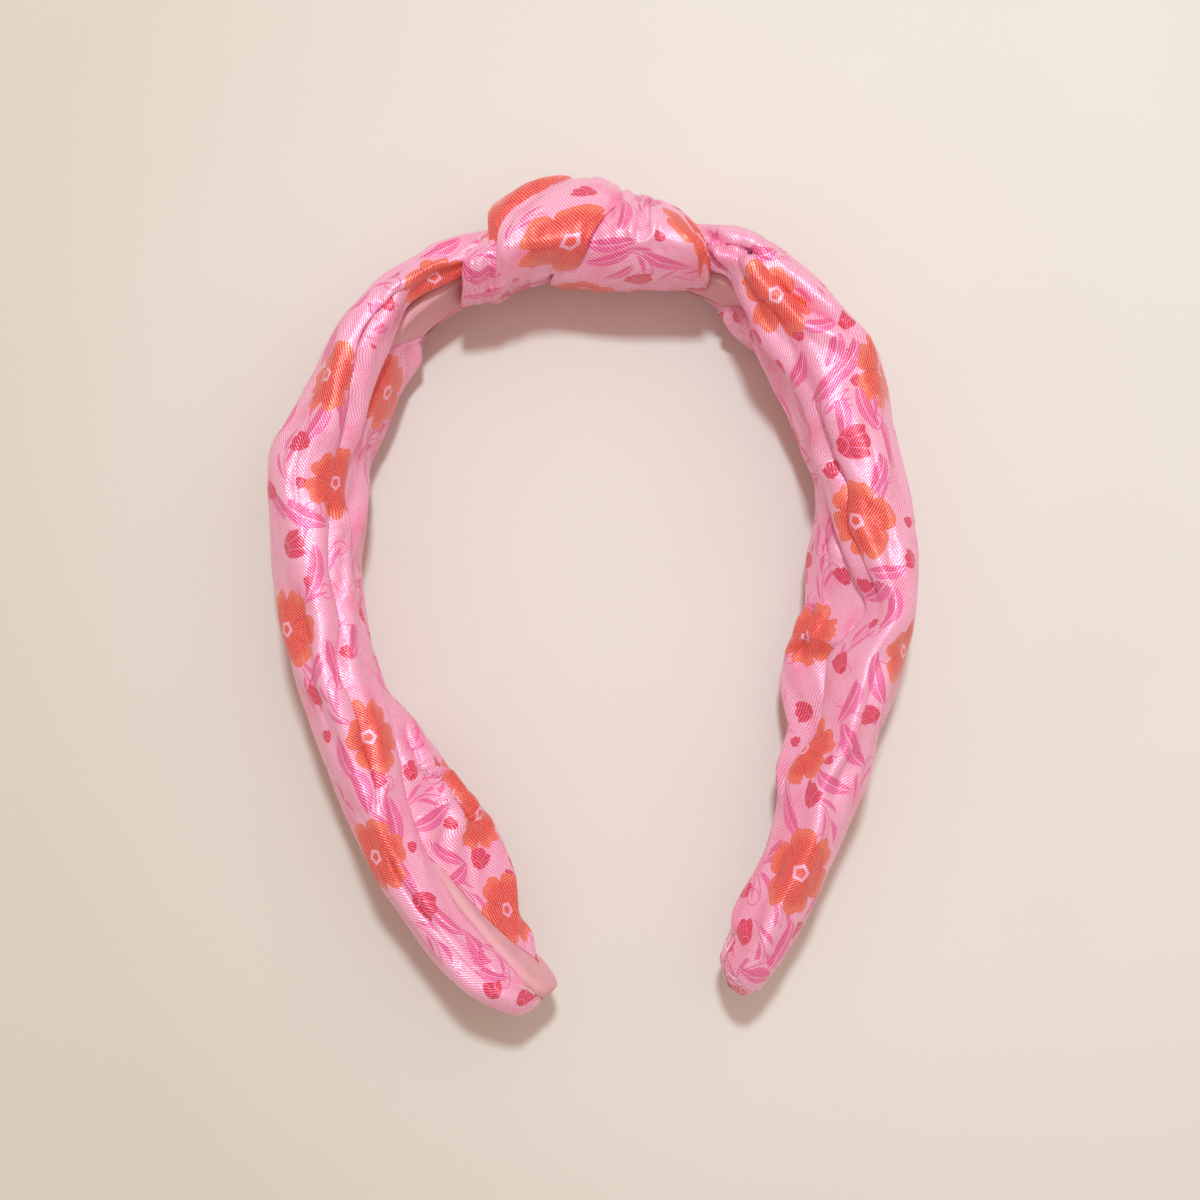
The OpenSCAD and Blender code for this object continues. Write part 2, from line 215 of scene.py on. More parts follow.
class Print:
    """The printed motifs on one grid of cloth. Each face keeps, for each kind of motif, where it
    lies in the nearest one, so a material draws that motif's shape just once."""

    KINDS = ("flower", "bud", "leaf", "sprig")

    def __init__(self, xyz, closed=False):
        self.xyz = np.concatenate([xyz, xyz[:, :1]], axis=1) if closed else xyz
        self.n = normals(self.xyz)
        self.w = arc_length(self.xyz, 1)
        self.u = arc_length(self.xyz, 0)
        # where each point shows from above, on the level of the fabric's top
        lens = np.array(CAMERA_AT, float)
        share = (lens[2] - PRINT_LEVEL) / (lens[2] - self.xyz[..., 2:])
        self.seen = lens[:2] + (self.xyz[..., :2] - lens[:2]) * share
        rows, columns = self.xyz.shape[0] - 1, self.xyz.shape[1] - 1
        self.best = {k: np.full((rows, columns), 1.0) for k in self.KINDS}
        self.value = {k: np.zeros((rows, columns, 4, 3)) for k in self.KINDS}
        for k in self.KINDS:
            self.value[k][..., :2] = NO_MOTIF
            if closed:  # no motif on the ends that turn under
                self.best[k][:TURNED_ROWS] = self.best[k][-TURNED_ROWS:] = 0

    def add(self, kind, at, size, angle=0.0, seed=0.5, side=1):
        """One motif, at (x, y) as seen from above, or at a (row, column) of the grid where side
        is 0. size is the distance from its middle to its edge, angle is anticlockwise from +X."""
        if side:
            gap = np.hypot(self.seen[..., 0] - at[0], self.seen[..., 1] - at[1])
            gap = np.where(self.n[..., 2] > 0.03, gap, FAR) - 0.12 * self.xyz[..., 2]
            i, j = np.unravel_index(np.argmin(gap), gap.shape)
        else:
            i, j = at
        row_gap = np.linalg.norm(np.diff(self.xyz[:, j], axis=0), axis=1).mean()
        rows = int(MOTIF_REACH * size / max(row_gap, 0.05)) + 2
        i0, i1 = max(i - rows, 0), min(i + rows + 1, self.xyz.shape[0])
        block = self.xyz[i0:i1]
        # along each row, distance is counted from where it crosses the motif's own level line
        flat = abs(self.n[i, j, 2]) > 0.55
        near = np.abs(self.w[i0:i1] - self.w[i, j]) < 14
        if flat:
            turn = np.gradient(block[:, j], axis=0)[:, :2]
            turn /= np.maximum(np.linalg.norm(turn, axis=1, keepdims=True), 1e-9)
            normal_2d = np.stack([turn[:, 1], -turn[:, 0]], axis=1)
            level = np.einsum("rck,rk->rc", block[..., :2] - block[:, j:j + 1, :2], normal_2d)
        else:
            level = block[..., 2] - self.xyz[i, j, 2]
        same = np.sign(np.einsum("rck,k->rc", self.n[i0:i1], self.n[i, j])) > 0
        cost = np.abs(level) + np.where(near & same, 0, 1e3)
        column = np.full(len(block), j) if flat else np.argmin(cost, axis=1)
        zero = np.take_along_axis(self.w[i0:i1], column[:, None], axis=1)
        across = self.w[i0:i1] - zero
        lengthwise = self.u[i0:i1] - self.u[i, None, :]
        # the local frame, as angles seen along the motif's own normal
        row_dir = np.gradient(self.xyz[i0:i1, j], axis=0)[i - i0]
        column_dir = np.gradient(self.xyz[i], axis=0)[j]
        hand = np.sign(np.dot(np.cross(row_dir, column_dir), self.n[i, j])) or 1.0
        a_row = math.atan2(row_dir[1], row_dir[0])
        a_col = a_row + hand * math.pi / 2
        x = lengthwise * math.cos(a_row) + across * math.cos(a_col)
        y = lengthwise * math.sin(a_row) + across * math.sin(a_col)
        c, s = math.cos(math.radians(angle)), math.sin(math.radians(angle))
        local = np.stack([(x * c + y * s) / size, (y * c - x * s) / size,
                          np.full_like(x, seed)], axis=2)
        corners = np.stack([local[:-1, :-1], local[1:, :-1], local[1:, 1:], local[:-1, 1:]], axis=2)
        middle = corners.mean(axis=2)
        distance = np.hypot(middle[..., 0], middle[..., 1]) / 1.6
        window = (slice(i0, i1 - 1), slice(None))
        closer = (distance < self.best[kind][window]) & (np.abs(across[:-1, :-1]) < 1.7 * size)
        self.best[kind][window] = np.where(closer, distance, self.best[kind][window])
        self.value[kind][window] = np.where(closer[..., None, None], corners,
                                            self.value[kind][window])

    def scatter(self, seed):
        """Motifs in even disorder over the faces that turn down, where none is listed."""
        rng = np.random.default_rng(seed)
        middle = (self.xyz[:-1, :-1] + self.xyz[1:, 1:]) / 2
        placed = {k: [] for k in self.KINDS}
        for kind in self.KINDS:
            down = self.n[:-1, :-1, 2] < (-0.4 if kind == "flower" else 0.0)
            if kind == "flower":
                down &= middle[..., 1] > TIP_CLEAR
            rows, columns = np.where(down & (self.xyz[:-1, :-1, 2] < HOOP_Z + 4))
            order = rng.permutation(len(rows))
            for k in order[::max(1, len(order) // SCATTER_TRIES)]:
                p = middle[rows[k], columns[k]]
                if all(np.linalg.norm(p - q) > SCATTER_ROOM[kind] for q in placed[kind]):
                    placed[kind].append(p)
                    self.add(kind, (rows[k], columns[k]), rng.uniform(*SCATTER_SIZE[kind]),
                             rng.uniform(0, 360), rng.uniform(), side=0)


def build(name, xyz, material, motifs=None, closed=False):
    """A mesh object from a grid of points in millimetres, with its cloth coordinates and print."""
    rows, columns = xyz.shape[:2]
    index = np.arange(rows * columns).reshape(rows, columns)
    if closed:
        index = np.concatenate([index, index[:, :1]], axis=1)
    faces = np.stack([index[:-1, :-1], index[1:, :-1], index[1:, 1:], index[:-1, 1:]], axis=2)
    a, b, c = (xyz.reshape(-1, 3)[faces[..., k]] for k in (0, 1, 2))
    lift = np.cross(b - a, c - a)[..., 2]
    high = a[..., 2] > np.quantile(a[..., 2], 0.9)
    flip = lift[high].sum() < 0
    if flip:
        faces = faces[:, :, ::-1]
    count = faces.shape[0] * faces.shape[1]
    mesh = bpy.data.meshes.new(name)
    mesh.vertices.add(rows * columns)
    mesh.vertices.foreach_set("co", (xyz * MM).reshape(-1).astype(np.float32))
    mesh.loops.add(count * 4)
    mesh.loops.foreach_set("vertex_index", faces.reshape(-1).astype(np.int32))
    mesh.polygons.add(count)
    mesh.polygons.foreach_set("loop_start", np.arange(0, count * 4, 4, dtype=np.int32))
    mesh.polygons.foreach_set("use_smooth", np.ones(count, dtype=bool))
    mesh.update(calc_edges=True)
    ring = np.concatenate([xyz, xyz[:, :1]], axis=1) if closed else xyz
    u = np.repeat(arc_length(ring, 0).mean(axis=1)[:, None], ring.shape[1], axis=1)
    w = arc_length(ring, 1)
    crest = int(np.argmax(ring[..., 2].mean(axis=0)))
    w = w - w[:, crest:crest + 1]
    cloth = np.stack([u, w, np.zeros_like(u)], axis=2)
    corner = np.stack([cloth[:-1, :-1], cloth[1:, :-1], cloth[1:, 1:], cloth[:-1, 1:]], axis=2)
    values = {"cloth": corner}
    if motifs:
        values.update(motifs.value)
    for key, value in values.items():
        if flip:
            value = value[:, :, ::-1]
        attribute = mesh.attributes.new(key, "FLOAT_VECTOR", "CORNER")
        attribute.data.foreach_set("vector", np.ascontiguousarray(value).reshape(-1)
                                   .astype(np.float32))
    thing = bpy.data.objects.new(name, mesh)
    thing.data.materials.append(material)
    bpy.context.collection.objects.link(thing)
    return thing


# --- material tools
class Field:
    """A number that varies over a surface. Arithmetic on it adds Math nodes."""

    def __init__(self, tree, socket):
        self.tree, self.socket = tree, socket

    def math(self, operation, *others):
        node = self.tree.nodes.new("ShaderNodeMath")
        node.operation = operation
        self.tree.links.new(self.socket, node.inputs[0])
        for k, other in enumerate(others, 1):
            if isinstance(other, Field):
                self.tree.links.new(other.socket, node.inputs[k])
            else:
                node.inputs[k].default_value = other
        return Field(self.tree, node.outputs[0])

    def __add__(self, other): return self.math("ADD", other)
    def __sub__(self, other): return self.math("SUBTRACT", other)
    def __mul__(self, other): return self.math("MULTIPLY", other)
    def __truediv__(self, other): return self.math("DIVIDE", other)
    def __rsub__(self, other): return (self * -1.0) + other
    __radd__, __rmul__ = __add__, __mul__

    def below(self, edge, blur=0.02):
        """1 where it is below edge, 0 above, with a short ramp."""
        node = self.tree.nodes.new("ShaderNodeMapRange")
        node.interpolation_type = "SMOOTHSTEP"
        self.tree.links.new((self - edge).socket, node.inputs["Value"])
        node.inputs["From Min"].default_value = -blur
        node.inputs["From Max"].default_value = blur
        node.inputs["To Min"].default_value = 1
        node.inputs["To Max"].default_value = 0
        return Field(self.tree, node.outputs["Result"])

    def above(self, edge, blur=0.02): return 1 - self.below(edge, blur)
    def between(self, low, high, blur=0.02): return self.above(low, blur) * self.below(high, blur)
    def abs(self): return self.math("ABSOLUTE")
    def sin(self): return self.math("SINE")
    def cos(self): return self.math("COSINE")
    def frac(self): return self.math("FRACT")
    def power(self, n): return self.math("POWER", n)
    def most(self, other): return self.math("MAXIMUM", other)
    def least(self, other): return self.math("MINIMUM", other)


def srgb(r, g, b):
    """A colour given in the usual 0 to 255 steps, as the linear numbers that a shader takes."""
    values = [v / 255 for v in (r, g, b)]
    return [v / 12.92 if v < 0.04045 else ((v + 0.055) / 1.055)**2.4 for v in values] + [1.0]


class Material:
    """A Principled material that is put together from fields."""

    def __init__(self, name, **settings):
        self.material = bpy.data.materials.new(name)
        self.material.use_nodes = True
        self.tree = self.material.node_tree
        self.shader = self.tree.nodes["Principled BSDF"]
        for key, value in settings.items():
            self.shader.inputs[key.replace("_", " ")].default_value = value

    def attribute(self, name):
        """The three fields of an attribute."""
        node = self.tree.nodes.new("ShaderNodeAttribute")
        node.attribute_name = name
        split = self.tree.nodes.new("ShaderNodeSeparateXYZ")
        self.tree.links.new(node.outputs["Vector"], split.inputs[0])
        return [Field(self.tree, split.outputs[k]) for k in range(3)], node.outputs["Vector"]

    def noise(self, vector, scale, detail=2.0, stretch=(1, 1, 1)):
        mapping = self.tree.nodes.new("ShaderNodeMapping")
        mapping.inputs["Scale"].default_value = stretch
        self.tree.links.new(vector, mapping.inputs["Vector"])
        node = self.tree.nodes.new("ShaderNodeTexNoise")
        node.inputs["Scale"].default_value = scale
        node.inputs["Detail"].default_value = detail
        self.tree.links.new(mapping.outputs[0], node.inputs["Vector"])
        return Field(self.tree, node.outputs[0])

    def mix(self, field, a, b):
        """Colour a where field is 0 and b where it is 1. Each is a colour or a colour socket."""
        node = self.tree.nodes.new("ShaderNodeMix")
        node.data_type = "RGBA"
        if isinstance(field, Field):
            self.tree.links.new(field.socket, node.inputs[0])
        else:
            node.inputs[0].default_value = field
        for k, colour in ((6, a), (7, b)):
            if isinstance(colour, list):
                node.inputs[k].default_value = colour
            else:
                self.tree.links.new(colour, node.inputs[k])
        return node.outputs[2]

    def set(self, name, value):
        self.tree.links.new(value.socket if isinstance(value, Field) else value,
                            self.shader.inputs[name])

    def bump(self, height, strength, distance):
        node = self.tree.nodes.new("ShaderNodeBump")
        node.inputs["Strength"].default_value = strength
        node.inputs["Distance"].default_value = distance
        self.tree.links.new(height.socket, node.inputs["Height"])
        self.tree.links.new(node.outputs[0], self.shader.inputs["Normal"])


# --- the printed satin
TWILL_PITCH = 0.70
PINK = srgb(255, 142, 187)
PINK_SOFT = srgb(255, 186, 220)
LILAC = srgb(244, 80, 164)
LILAC_DARK = srgb(234, 42, 136)
CRIMSON = srgb(222, 0, 76)
CRIMSON_LIGHT = srgb(255, 110, 165)
ORANGE = srgb(240, 76, 42)
ORANGE_DARK = srgb(222, 28, 14)
ORANGE_LIGHT = srgb(255, 134, 94)


def draw_flower(m, colour):
    (x, y, seed), _ = m.attribute("flower")
    radius = (x * x + y * y).math("SQRT")
    turn = y.math("ARCTAN2", x)
    petals = 6.0
    cell = ((turn + seed * 6.0) * (petals / (2 * math.pi)) + 20.0).frac()
    off = (cell - 0.5).abs() * 2.0
    rim = 1.0 - off.power(4.4) * 0.28 - (off * off * -26.0).math("EXPONENT") * 0.045
    wave = (turn * 13.0 + seed * 40.0).sin() * 0.022
    edge = rim + wave
    inside = (radius - edge).below(0.0, 0.015)
    share = radius / edge
    veins = (turn * 41.0).sin().above(0.35, 0.3) * share.between(0.3, 0.86, 0.1)
    gaps = off.above(0.86, 0.08) * share.between(0.16, 0.97, 0.05)
    rims = share.above(0.8, 0.12)
    inner = m.mix(veins * 0.45, ORANGE, ORANGE_DARK)
    inner = m.mix(rims * 0.55, inner, ORANGE_LIGHT)
    inner = m.mix(gaps * 0.75, inner, ORANGE_DARK)
    side = ((turn * (5 / (2 * math.pi)) + 20.3).frac() - 0.5) * (2 * math.pi / 5)
    pentagon = radius * side.cos()
    core = m.mix(pentagon.below(0.1, 0.02), PINK_SOFT, ORANGE)
    inner = m.mix(pentagon.below(0.175, 0.015), inner, core)
    return m.mix(inside, colour, inner)


def draw_bud(m, colour):
    (x, y, _), _ = m.attribute("bud")
    stalk = y + 1.0
    fan = x.math("ARCTAN2", stalk)
    reach = (x * x + stalk * stalk).math("SQRT")
    scallop = (1 - (fan * 6.8).cos().abs()) * 0.2
    inside = (reach + scallop - 1.9).below(0.0, 0.03) * reach.above(0.16, 0.04)
    inside = inside * (fan.abs() + reach * 0.4 - 1.18).below(0.0, 0.03)
    vein = (fan * 6.8).cos().abs().below(0.2, 0.12) * reach.between(0.8, 1.66, 0.1)
    fine = (fan * 27.0).cos().above(0.6, 0.3) * reach.between(0.9, 1.75, 0.15) * 0.4
    tier = (reach + fan * fan * 0.25 - 0.74).abs().below(0.05, 0.03)
    inner = m.mix(vein.most(fine).most(tier) * 0.85, CRIMSON, CRIMSON_LIGHT)
    return m.mix(inside, colour, inner)


def leaf_shape(x, y, bend, half):
    """Inside-ness of a pointed leaf along x from -1 to 1, and the distance off its midrib."""
    off = y - x * x * bend
    width = (1.0 - x * x).most(0.0).power(0.85) * half
    return (off.abs() - width).below(0.0, 0.015) * x.abs().below(0.985, 0.01), off


def draw_leaf(m, colour):
    (x, y, _), _ = m.attribute("leaf")
    inside, off = leaf_shape(x, y, 0.22, 0.3)
    half = m.mix(off.above(0.0, 0.02), LILAC, LILAC_DARK)
    streak = (off * 60.0 + x * 3.0).sin().above(0.5, 0.4) * 0.22
    half = m.mix(streak, half, PINK_SOFT)
    half = m.mix(off.abs().below(0.022, 0.012), half, PINK_SOFT)
    return m.mix(inside * 0.88, colour, half)


def draw_sprig(m, colour):
    (x, y, _), _ = m.attribute("sprig")
    off = y + x * x * 0.45 - 0.2
    stem = off.abs().below(0.028, 0.014) * x.abs().below(0.98, 0.02)
    leaves = None
    for first, lift, spread in ((-0.85, 0.1, 0.28), (-0.25, -0.08, -0.34), (0.2, 0.07, 0.5)):
        step = ((x - first) / 1.05).most(0.0).least(1.0)
        blade = (off - lift - (x - first) * spread).abs() - (step * math.pi).sin() * 0.1
        blade = blade.below(0.0, 0.018) * x.between(first + 0.02, first + 1.03, 0.01)
        leaves = blade if leaves is None else leaves.most(blade)
    curl = ((x - 0.72) * (x - 0.72) + (y + 0.42) * (y + 0.42)).math("SQRT")
    curl = (curl - 0.26).abs().below(0.024, 0.014)
    return m.mix(stem.most(leaves).most(curl) * 0.85, colour, LILAC)


def satin(name):
    """Shiny printed satin with its fine diagonal weave, whose lines carry painted glints and
    painted shade.
    """
    m = Material(name, Roughness=0.4, Metallic=0.25, Sheen_Weight=0.02, Sheen_Roughness=0.4,
                 Specular_IOR_Level=0.75)
    (u, w, _), cloth = m.attribute("cloth")
    # gentle unevenness of the dye, in patches some millimetres wide
    patches = m.noise(cloth, 0.09, 3.0)
    colour = m.mix(patches.between(0.3, 0.62, 0.2), PINK, PINK_SOFT)
    for draw in (draw_sprig, draw_leaf, draw_bud, draw_flower):
        colour = draw(m, colour)
    # twill lines, broken up along their length by single threads; their colour has painted glints,
    # whitened on the raised lines, and painted shade, deep pink, in the lines between
    twill = ((u + w) * (2 * math.pi / TWILL_PITCH)).sin()
    thread = m.noise(cloth, 1.0, 1.0, stretch=(5.2, 2.4, 1))
    weave = twill * 0.75 + (thread - 0.5) * 1.7
    m.bump(twill * 0.5 + (thread - 0.5) * 1.6, 1.0, 0.000046)
    rough = (thread - 0.5) * 0.5 + 0.31
    m.set("Roughness", rough.most(0.17))
    # painted highlight: white glints mixed into the raised twill lines
    light = m.mix(0.7, colour, [1, 1, 1, 1])
    # painted shade: deep pink mixed into the low twill lines
    dark = m.mix(0.6, colour, srgb(214, 10, 70))
    colour = m.mix(weave.below(-0.1, 0.5) * 0.58, colour, dark)
    m.set("Base Color", m.mix(weave.above(0.45, 0.5) * 0.38, colour, light))
    return m.material


# --- the arms
# Rows of (s, edge, edge_up, out, in, in_up, top, bottom, open): the upper layer's inner edge and
# its height, how far the fabric reaches outward and inward, the height of that inmost point, how
# far it reaches up and down, and how open it is to the lining on the head side.
# LIP_UP is the height of the lower layer's edge against the lining, where the fabric is open.
LIP_UP = {
    LEFT: [(20, -8), (32, -8), (38, -6.8), (43, -2.2), (47, 2.5), (56, 4), (145, 6), (153, 6.3),
           (160, 5.8), (167.7, 4), (174.5, 2.4), (181, 0.4), (187, -2), (194, -3)],
    RIGHT: [(19, -5.4), (30, -5), (34, -4), (40, 0), (60, 4), (165, 2), (172, 0), (176.4, -4),
            (180, -4), (185, -2)],
}
ARM_ROWS = {
    LEFT: [
        (15, 1.4, 7, 8.2, 0.4, -7, 9, 9, 1), (20, 1.4, 7, 8.6, 0.4, -7, 9, 9, 1),
        (24, 1, 7.8, 8.8, 0.4, -7.5, 11.4, 11.4, 1), (28, 1.2, 8.5, 8.8, 0.6, -8, 13.5, 13.5, 1),
        (34, 1.6, 9.5, 9.2, 1, -9, 15, 15.5, 1), (38, 2, 9.5, 9.8, 1.8, -9, 15.5, 16, 1),
        (43.7, 0, 9.5, 10.6, 4.3, -9, 16.2, 17, 1),
        (48, -1.3, 9.5, 11.2, 5.2, -8, 16.8, 17.5, 0.7),
        (56, -1.8, 9.5, 10.9, 5.6, -7, 17.2, 18, 0.2), (64, -2, 9.5, 12.2, 4.7, -6, 17.4, 18, 0),
        (72, -1.8, 9, 15.4, 3.6, -6, 17.6, 18, 0), (78, -1, 8.5, 15.6, 4.9, -6, 17.6, 18, 0),
        (84, -1.8, 9, 14.6, 4.4, -6, 17.4, 18, 0), (95, -2.1, 9, 13.7, 2.7, -6, 17.2, 18, 0),
        (105, -2.7, 8.5, 13.4, 2.7, -6, 17, 18, 0), (115, -3.4, 8, 12.7, 3, -5, 16.8, 18, 0),
        (121, -4.4, 7.5, 12.1, 3.6, -5, 16.6, 18, 0), (128, -4.2, 7.5, 12, 7.4, -6, 16.4, 17.8, 0),
        (136, -3.3, 7.5, 11.9, 9, -7, 16, 17.4, 0),
        (145, -1.1, 7.5, 12.4, 10.4, -8, 15.4, 16.8, 0),
        (153, 0.2, 7.5, 12.8, 12.6, -8, 14.8, 16.2, 0.3),
        (161, 1, 7.5, 12.3, 12.6, -8, 14, 15.4, 1), (170, 1.9, 7.2, 12.6, 10.2, -7.5, 13, 14.2, 1),
        (178, 1.7, 6.8, 13.2, 6.2, -7, 11.8, 12.8, 1), (184, 1.5, 6.2, 12, 4.4, -6, 10.6, 11.2, 1),
        (187.6, 1.6, 5.2, 10.8, 2.4, -5, 9.4, 9.6, 1),
        (190.4, 1.4, 3.8, 9.6, 1, -4.2, 7.6, 7.8, 0.4),
        (192.2, 1.6, 2.6, 8.6, -0.4, -3, 5.4, 5.6, 0),
        (193.8, 2.8, 1, 6.2, -2.6, -1.2, 1.4, 1.6, 0),
    ],
    RIGHT: [
        (13, 2.6, 7, 9, 2.4, -7, 9.6, 9.6, 1), (19, 2.6, 7, 9.4, 2.4, -7, 9.6, 9.6, 1),
        (24.5, 1.6, 9, 11.8, 2.6, -8, 14, 14, 1), (28, 1, 9.5, 12.2, 3.3, -8, 15, 15, 1),
        (31, -1.6, 9.5, 12.3, 4.3, -7, 15.8, 15.8, 0.8),
        (36, -3.9, 9.5, 12.4, 5.2, -6, 16.4, 16.6, 0.3), (42, -5.6, 9, 12.9, 6, -4, 17, 17.4, 0),
        (48, -5.4, 8.5, 13.4, 6.2, -4, 17.4, 18, 0), (54, -5.3, 8.5, 14.8, 6.5, -4, 17.6, 18, 0),
        (60, -5.4, 8.5, 14, 6.6, -4, 17.6, 18, 0), (68, -4.7, 8.5, 12.2, 6, -4, 17.6, 18, 0),
        (75, -4.5, 8.5, 11.9, 5.2, -4, 17.4, 18, 0), (80, -4.6, 8, 12.2, 5.6, -5, 17.2, 18, 0),
        (84.7, -3.9, 8, 12.6, 6.7, -6, 17.2, 18, 0), (90, -2.9, 7.5, 12.8, 8.3, -6, 17, 18, 0),
        (95, -1.1, 7.5, 12.9, 8.8, -6, 17, 18, 0), (99, 0.9, 7.5, 12.9, 9.1, -6, 17, 18, 0),
        (103, 1.8, 7.5, 12.5, 9.4, -6, 17, 18, 0), (106, 0.1, 7.5, 12, 10.2, -6, 17, 17.8, 0),
        (110, -3, 7.5, 11.2, 11.4, -5, 16.8, 17.6, 0),
        (114, -4.8, 7, 10.9, 12.8, -5, 16.6, 17.4, 0),
        (119, -4.8, 7, 9.7, 12.8, -5, 16.4, 17.2, 0), (124, -4.7, 7, 8.6, 11.6, -5, 16.2, 16.8, 0),
        (129, -4.7, 7, 8, 10, -5, 15.8, 16.4, 0), (135, -6.7, 6.5, 7.9, 9.3, -4, 15.4, 16, 0),
        (140, -7.5, 5.5, 8, 9, -2, 15, 15.6, 0), (147, -6.2, 5.5, 7.9, 6.9, -1, 14.4, 15, 0),
        (156, -4.9, 5.5, 7.9, 5.4, -1, 13.4, 14, 0), (166, -4.7, 5, 8.3, 5.3, -1, 12.2, 12.6, 0),
        (173.5, -3.2, 4.6, 8.7, 3.9, -2, 11.2, 11.4, 0.2),
        (176.4, -2.2, 4.2, 8.6, 2.4, -3, 10.6, 10.6, 0.6),
        (179.4, -1.8, 3.6, 8.5, 2.2, -3, 9.6, 9.6, 0.5),
        (181.4, -1.2, 3.2, 8.3, 1.9, -2, 8.2, 8.2, 0),
        (183.4, 0.8, 2.2, 7.8, -0.2, -1.6, 5.6, 5.8, 0),
        (185.2, 3.6, 0.6, 6, -3.4, -0.8, 1.4, 1.4, 0),
    ],
}
ARM_ENDS = {LEFT: (15, 193.8), RIGHT: (13, 185.2)}
ROW_GAP = 0.46
UPPER_COLUMNS = (8, 100)  # first and last column of arm_outline() in the upper layer
LOBE_COLUMNS = 48  # how many columns at its end are the lower lobe
FLOOR_GAP = 0.05

# Creases of the upper layer: rows of (s, out), then depth, width, lip and which side lies over the
# other, 1 for the outer side. LOBE_CREASES are those of the lower lobe.
CREASES = {
    LEFT: [
        ([(19, 6.9), (26, 6.7), (33, 7.9)], 1.5, 1.0, 0.3, 1),
        ([(19, 4.0), (26, 5.4), (33, 6.4)], 1.2, 0.8, 0.3, 1),
        ([(36, 4.0), (40.5, 5.5), (44, 5.8), (50, 4.8), (54.3, 2.8), (58, 2), (62, 0.9), (72, 0.2)],
         2.1, 1.3, 0.8, 1),
        ([(81, 1.1), (88, 0.6), (94, 0.8), (100, 0.6), (106, 0.9), (112, 2.2), (117, 2.3),
          (120, 1.7), (126.6, 1.5), (132.5, 2.6), (138.5, 3.6), (144, 5)], 2.2, 1.3, 0.9, 1),
        ([(82, -0.9), (88, -1.4), (95, -1.0), (102, -0.4)], 0.8, 0.7, 0.2, 1),
        ([(60, 7), (66, 8.2), (74, 8.4), (84, 7)], 0.9, 1.8, 0, 1),
        ([(150, 7.0), (158, 8.2), (166, 8.0), (177, 7.3), (186, 6.4)], 1.3, 1.0, 0.4, 1),
        ([(166, 6.4), (171, 6.0), (177, 4.9), (185, 3.9)], 1.0, 0.8, 0.3, 1),
        ([(96, 8.4), (106, 7.6), (118, 8.2), (130, 7.4)], 0.8, 2.2, 0, 1),
    ],
    RIGHT: [
        ([(19, 4.4), (24.5, 6.5), (28.7, 7.2), (34, 7.9)], 1.3, 0.9, 0.3, 1),
        ([(19, 5.2), (22.3, 4.4), (24.6, 2.6), (28, 1.6)], 1.6, 0.9, 0, 1),
        ([(26, 7.2), (30, 6.6), (36, 5.3), (40, 5.4), (43.2, 5.6), (46.2, 6.7), (49.8, 8.8),
          (54, 11.5)], 2.3, 1.2, 0.8, -1),
        ([(58, -2), (64.8, -2.4), (71.2, -2.7), (77.9, -1), (85, -1.3), (90.2, 0.4), (96.3, 2.2),
          (101, 3.2)], 2.0, 1.2, 0.7, 1),
        ([(36, 0.5), (44, -1.2), (52, -2.6), (60, -1.6)], 0.8, 1.4, 0.0, 1),
        ([(66, 6), (76, 5.2), (88, 6.6), (98, 6)], 0.8, 2.2, 0, 1),
        ([(108, 5.5), (118, 4), (130, 3.4), (142, 2.4)], 0.8, 2.2, 0, 1),
    ],
}
LOBE_CREASES = {
    LEFT: [([(128, -6.2), (134.5, -6.4), (140, -7), (144.4, -9), (150.8, -9.6), (158, -10.6)],
            1.5, 1.2, 0.3, 1)],
    RIGHT: [([(84, -5.6), (90, -5.6), (96, -5.9)], 1.0, 0.9, 0.2, 1),
            ([(101, -7.6), (108.2, -9.6), (115, -10.4)], 1.2, 1.2, 0.2, 1)],
}


def arm_outline(s, side):
    """The section's smooth loop at each s, as (out, up), from the upper root to the lower one."""
    e, eu, out, inn, iu, top, bottom, wide = along(ARM_ROWS[side], s).T
    crest = e + 0.46 * (out - e)
    foot = (out - inn) / 2

    def at(y, z):
        return np.stack([np.broadcast_to(y, s.shape), np.broadcast_to(z, s.shape)], axis=1)

    def either(closed, opened):
        return closed + (opened - closed) * wide[:, None]

    lobe = e + inn
    over = ramp(e, -5, -2.5) * ramp(top, 7, 11)
    eu = np.maximum(eu, 8.6 * over * (1 - wide))
    snug = np.clip((out - e) / 6.8, 0.2, 1)  # the turned-in edges stay inside the small tip
    root = eu - 3.2 * snug + over * np.maximum(7.6 - (eu - 3.2), 0)
    lip = along(LIP_UP[side], s)[:, 0]
    face = np.maximum(lip, -4) * math.tan(BAND_LEAN) - 1.75
    points = np.stack([
        either(at(e + 4.2 * snug, root + 0.2), at(np.maximum(e + 1.6, 2.6), 6.7)),
        either(at(e + 1.2 * snug, (eu + root) / 2 + 0.1), at(np.maximum(e + 0.8, 1.6), eu - 1.3)),
        at(e, eu),
        at(e + 0.16 * (out - e), eu + 0.55 * (top - eu)),
        at(crest, top),
        at(crest + 0.56 * (out - crest), 0.84 * top),
        at(crest + 0.9 * (out - crest), 0.45 * top),
        at(out, -0.04 * top),
        at(crest + 0.9 * (out - crest), -0.5 * bottom),
        at(foot + 0.6 * (out - foot), -0.9 * bottom),
        at(foot, -bottom),
        at(-0.62 * inn + 0.1 * foot, -0.84 * bottom),
        at(-inn, iu),
        either(at(-inn + 0.42 * lobe, iu + (0.62 + 0.12 * over) * (root - iu)),
               at((face - inn) / 2, (lip + iu) / 2 + 0.5)),
        either(at(e + 1.8 * snug, root), at(face - 0.15, lip)),
        either(at(e + 4.6 * snug, root - 1.2 * snug + over), at(face + 0.35, lip - 0.7)),
    ], axis=1)
    return outline(points, (5, 5, 8, 20, 22, 20, 16, 12, 14, 14, 12, 16, 20, 12, 6))


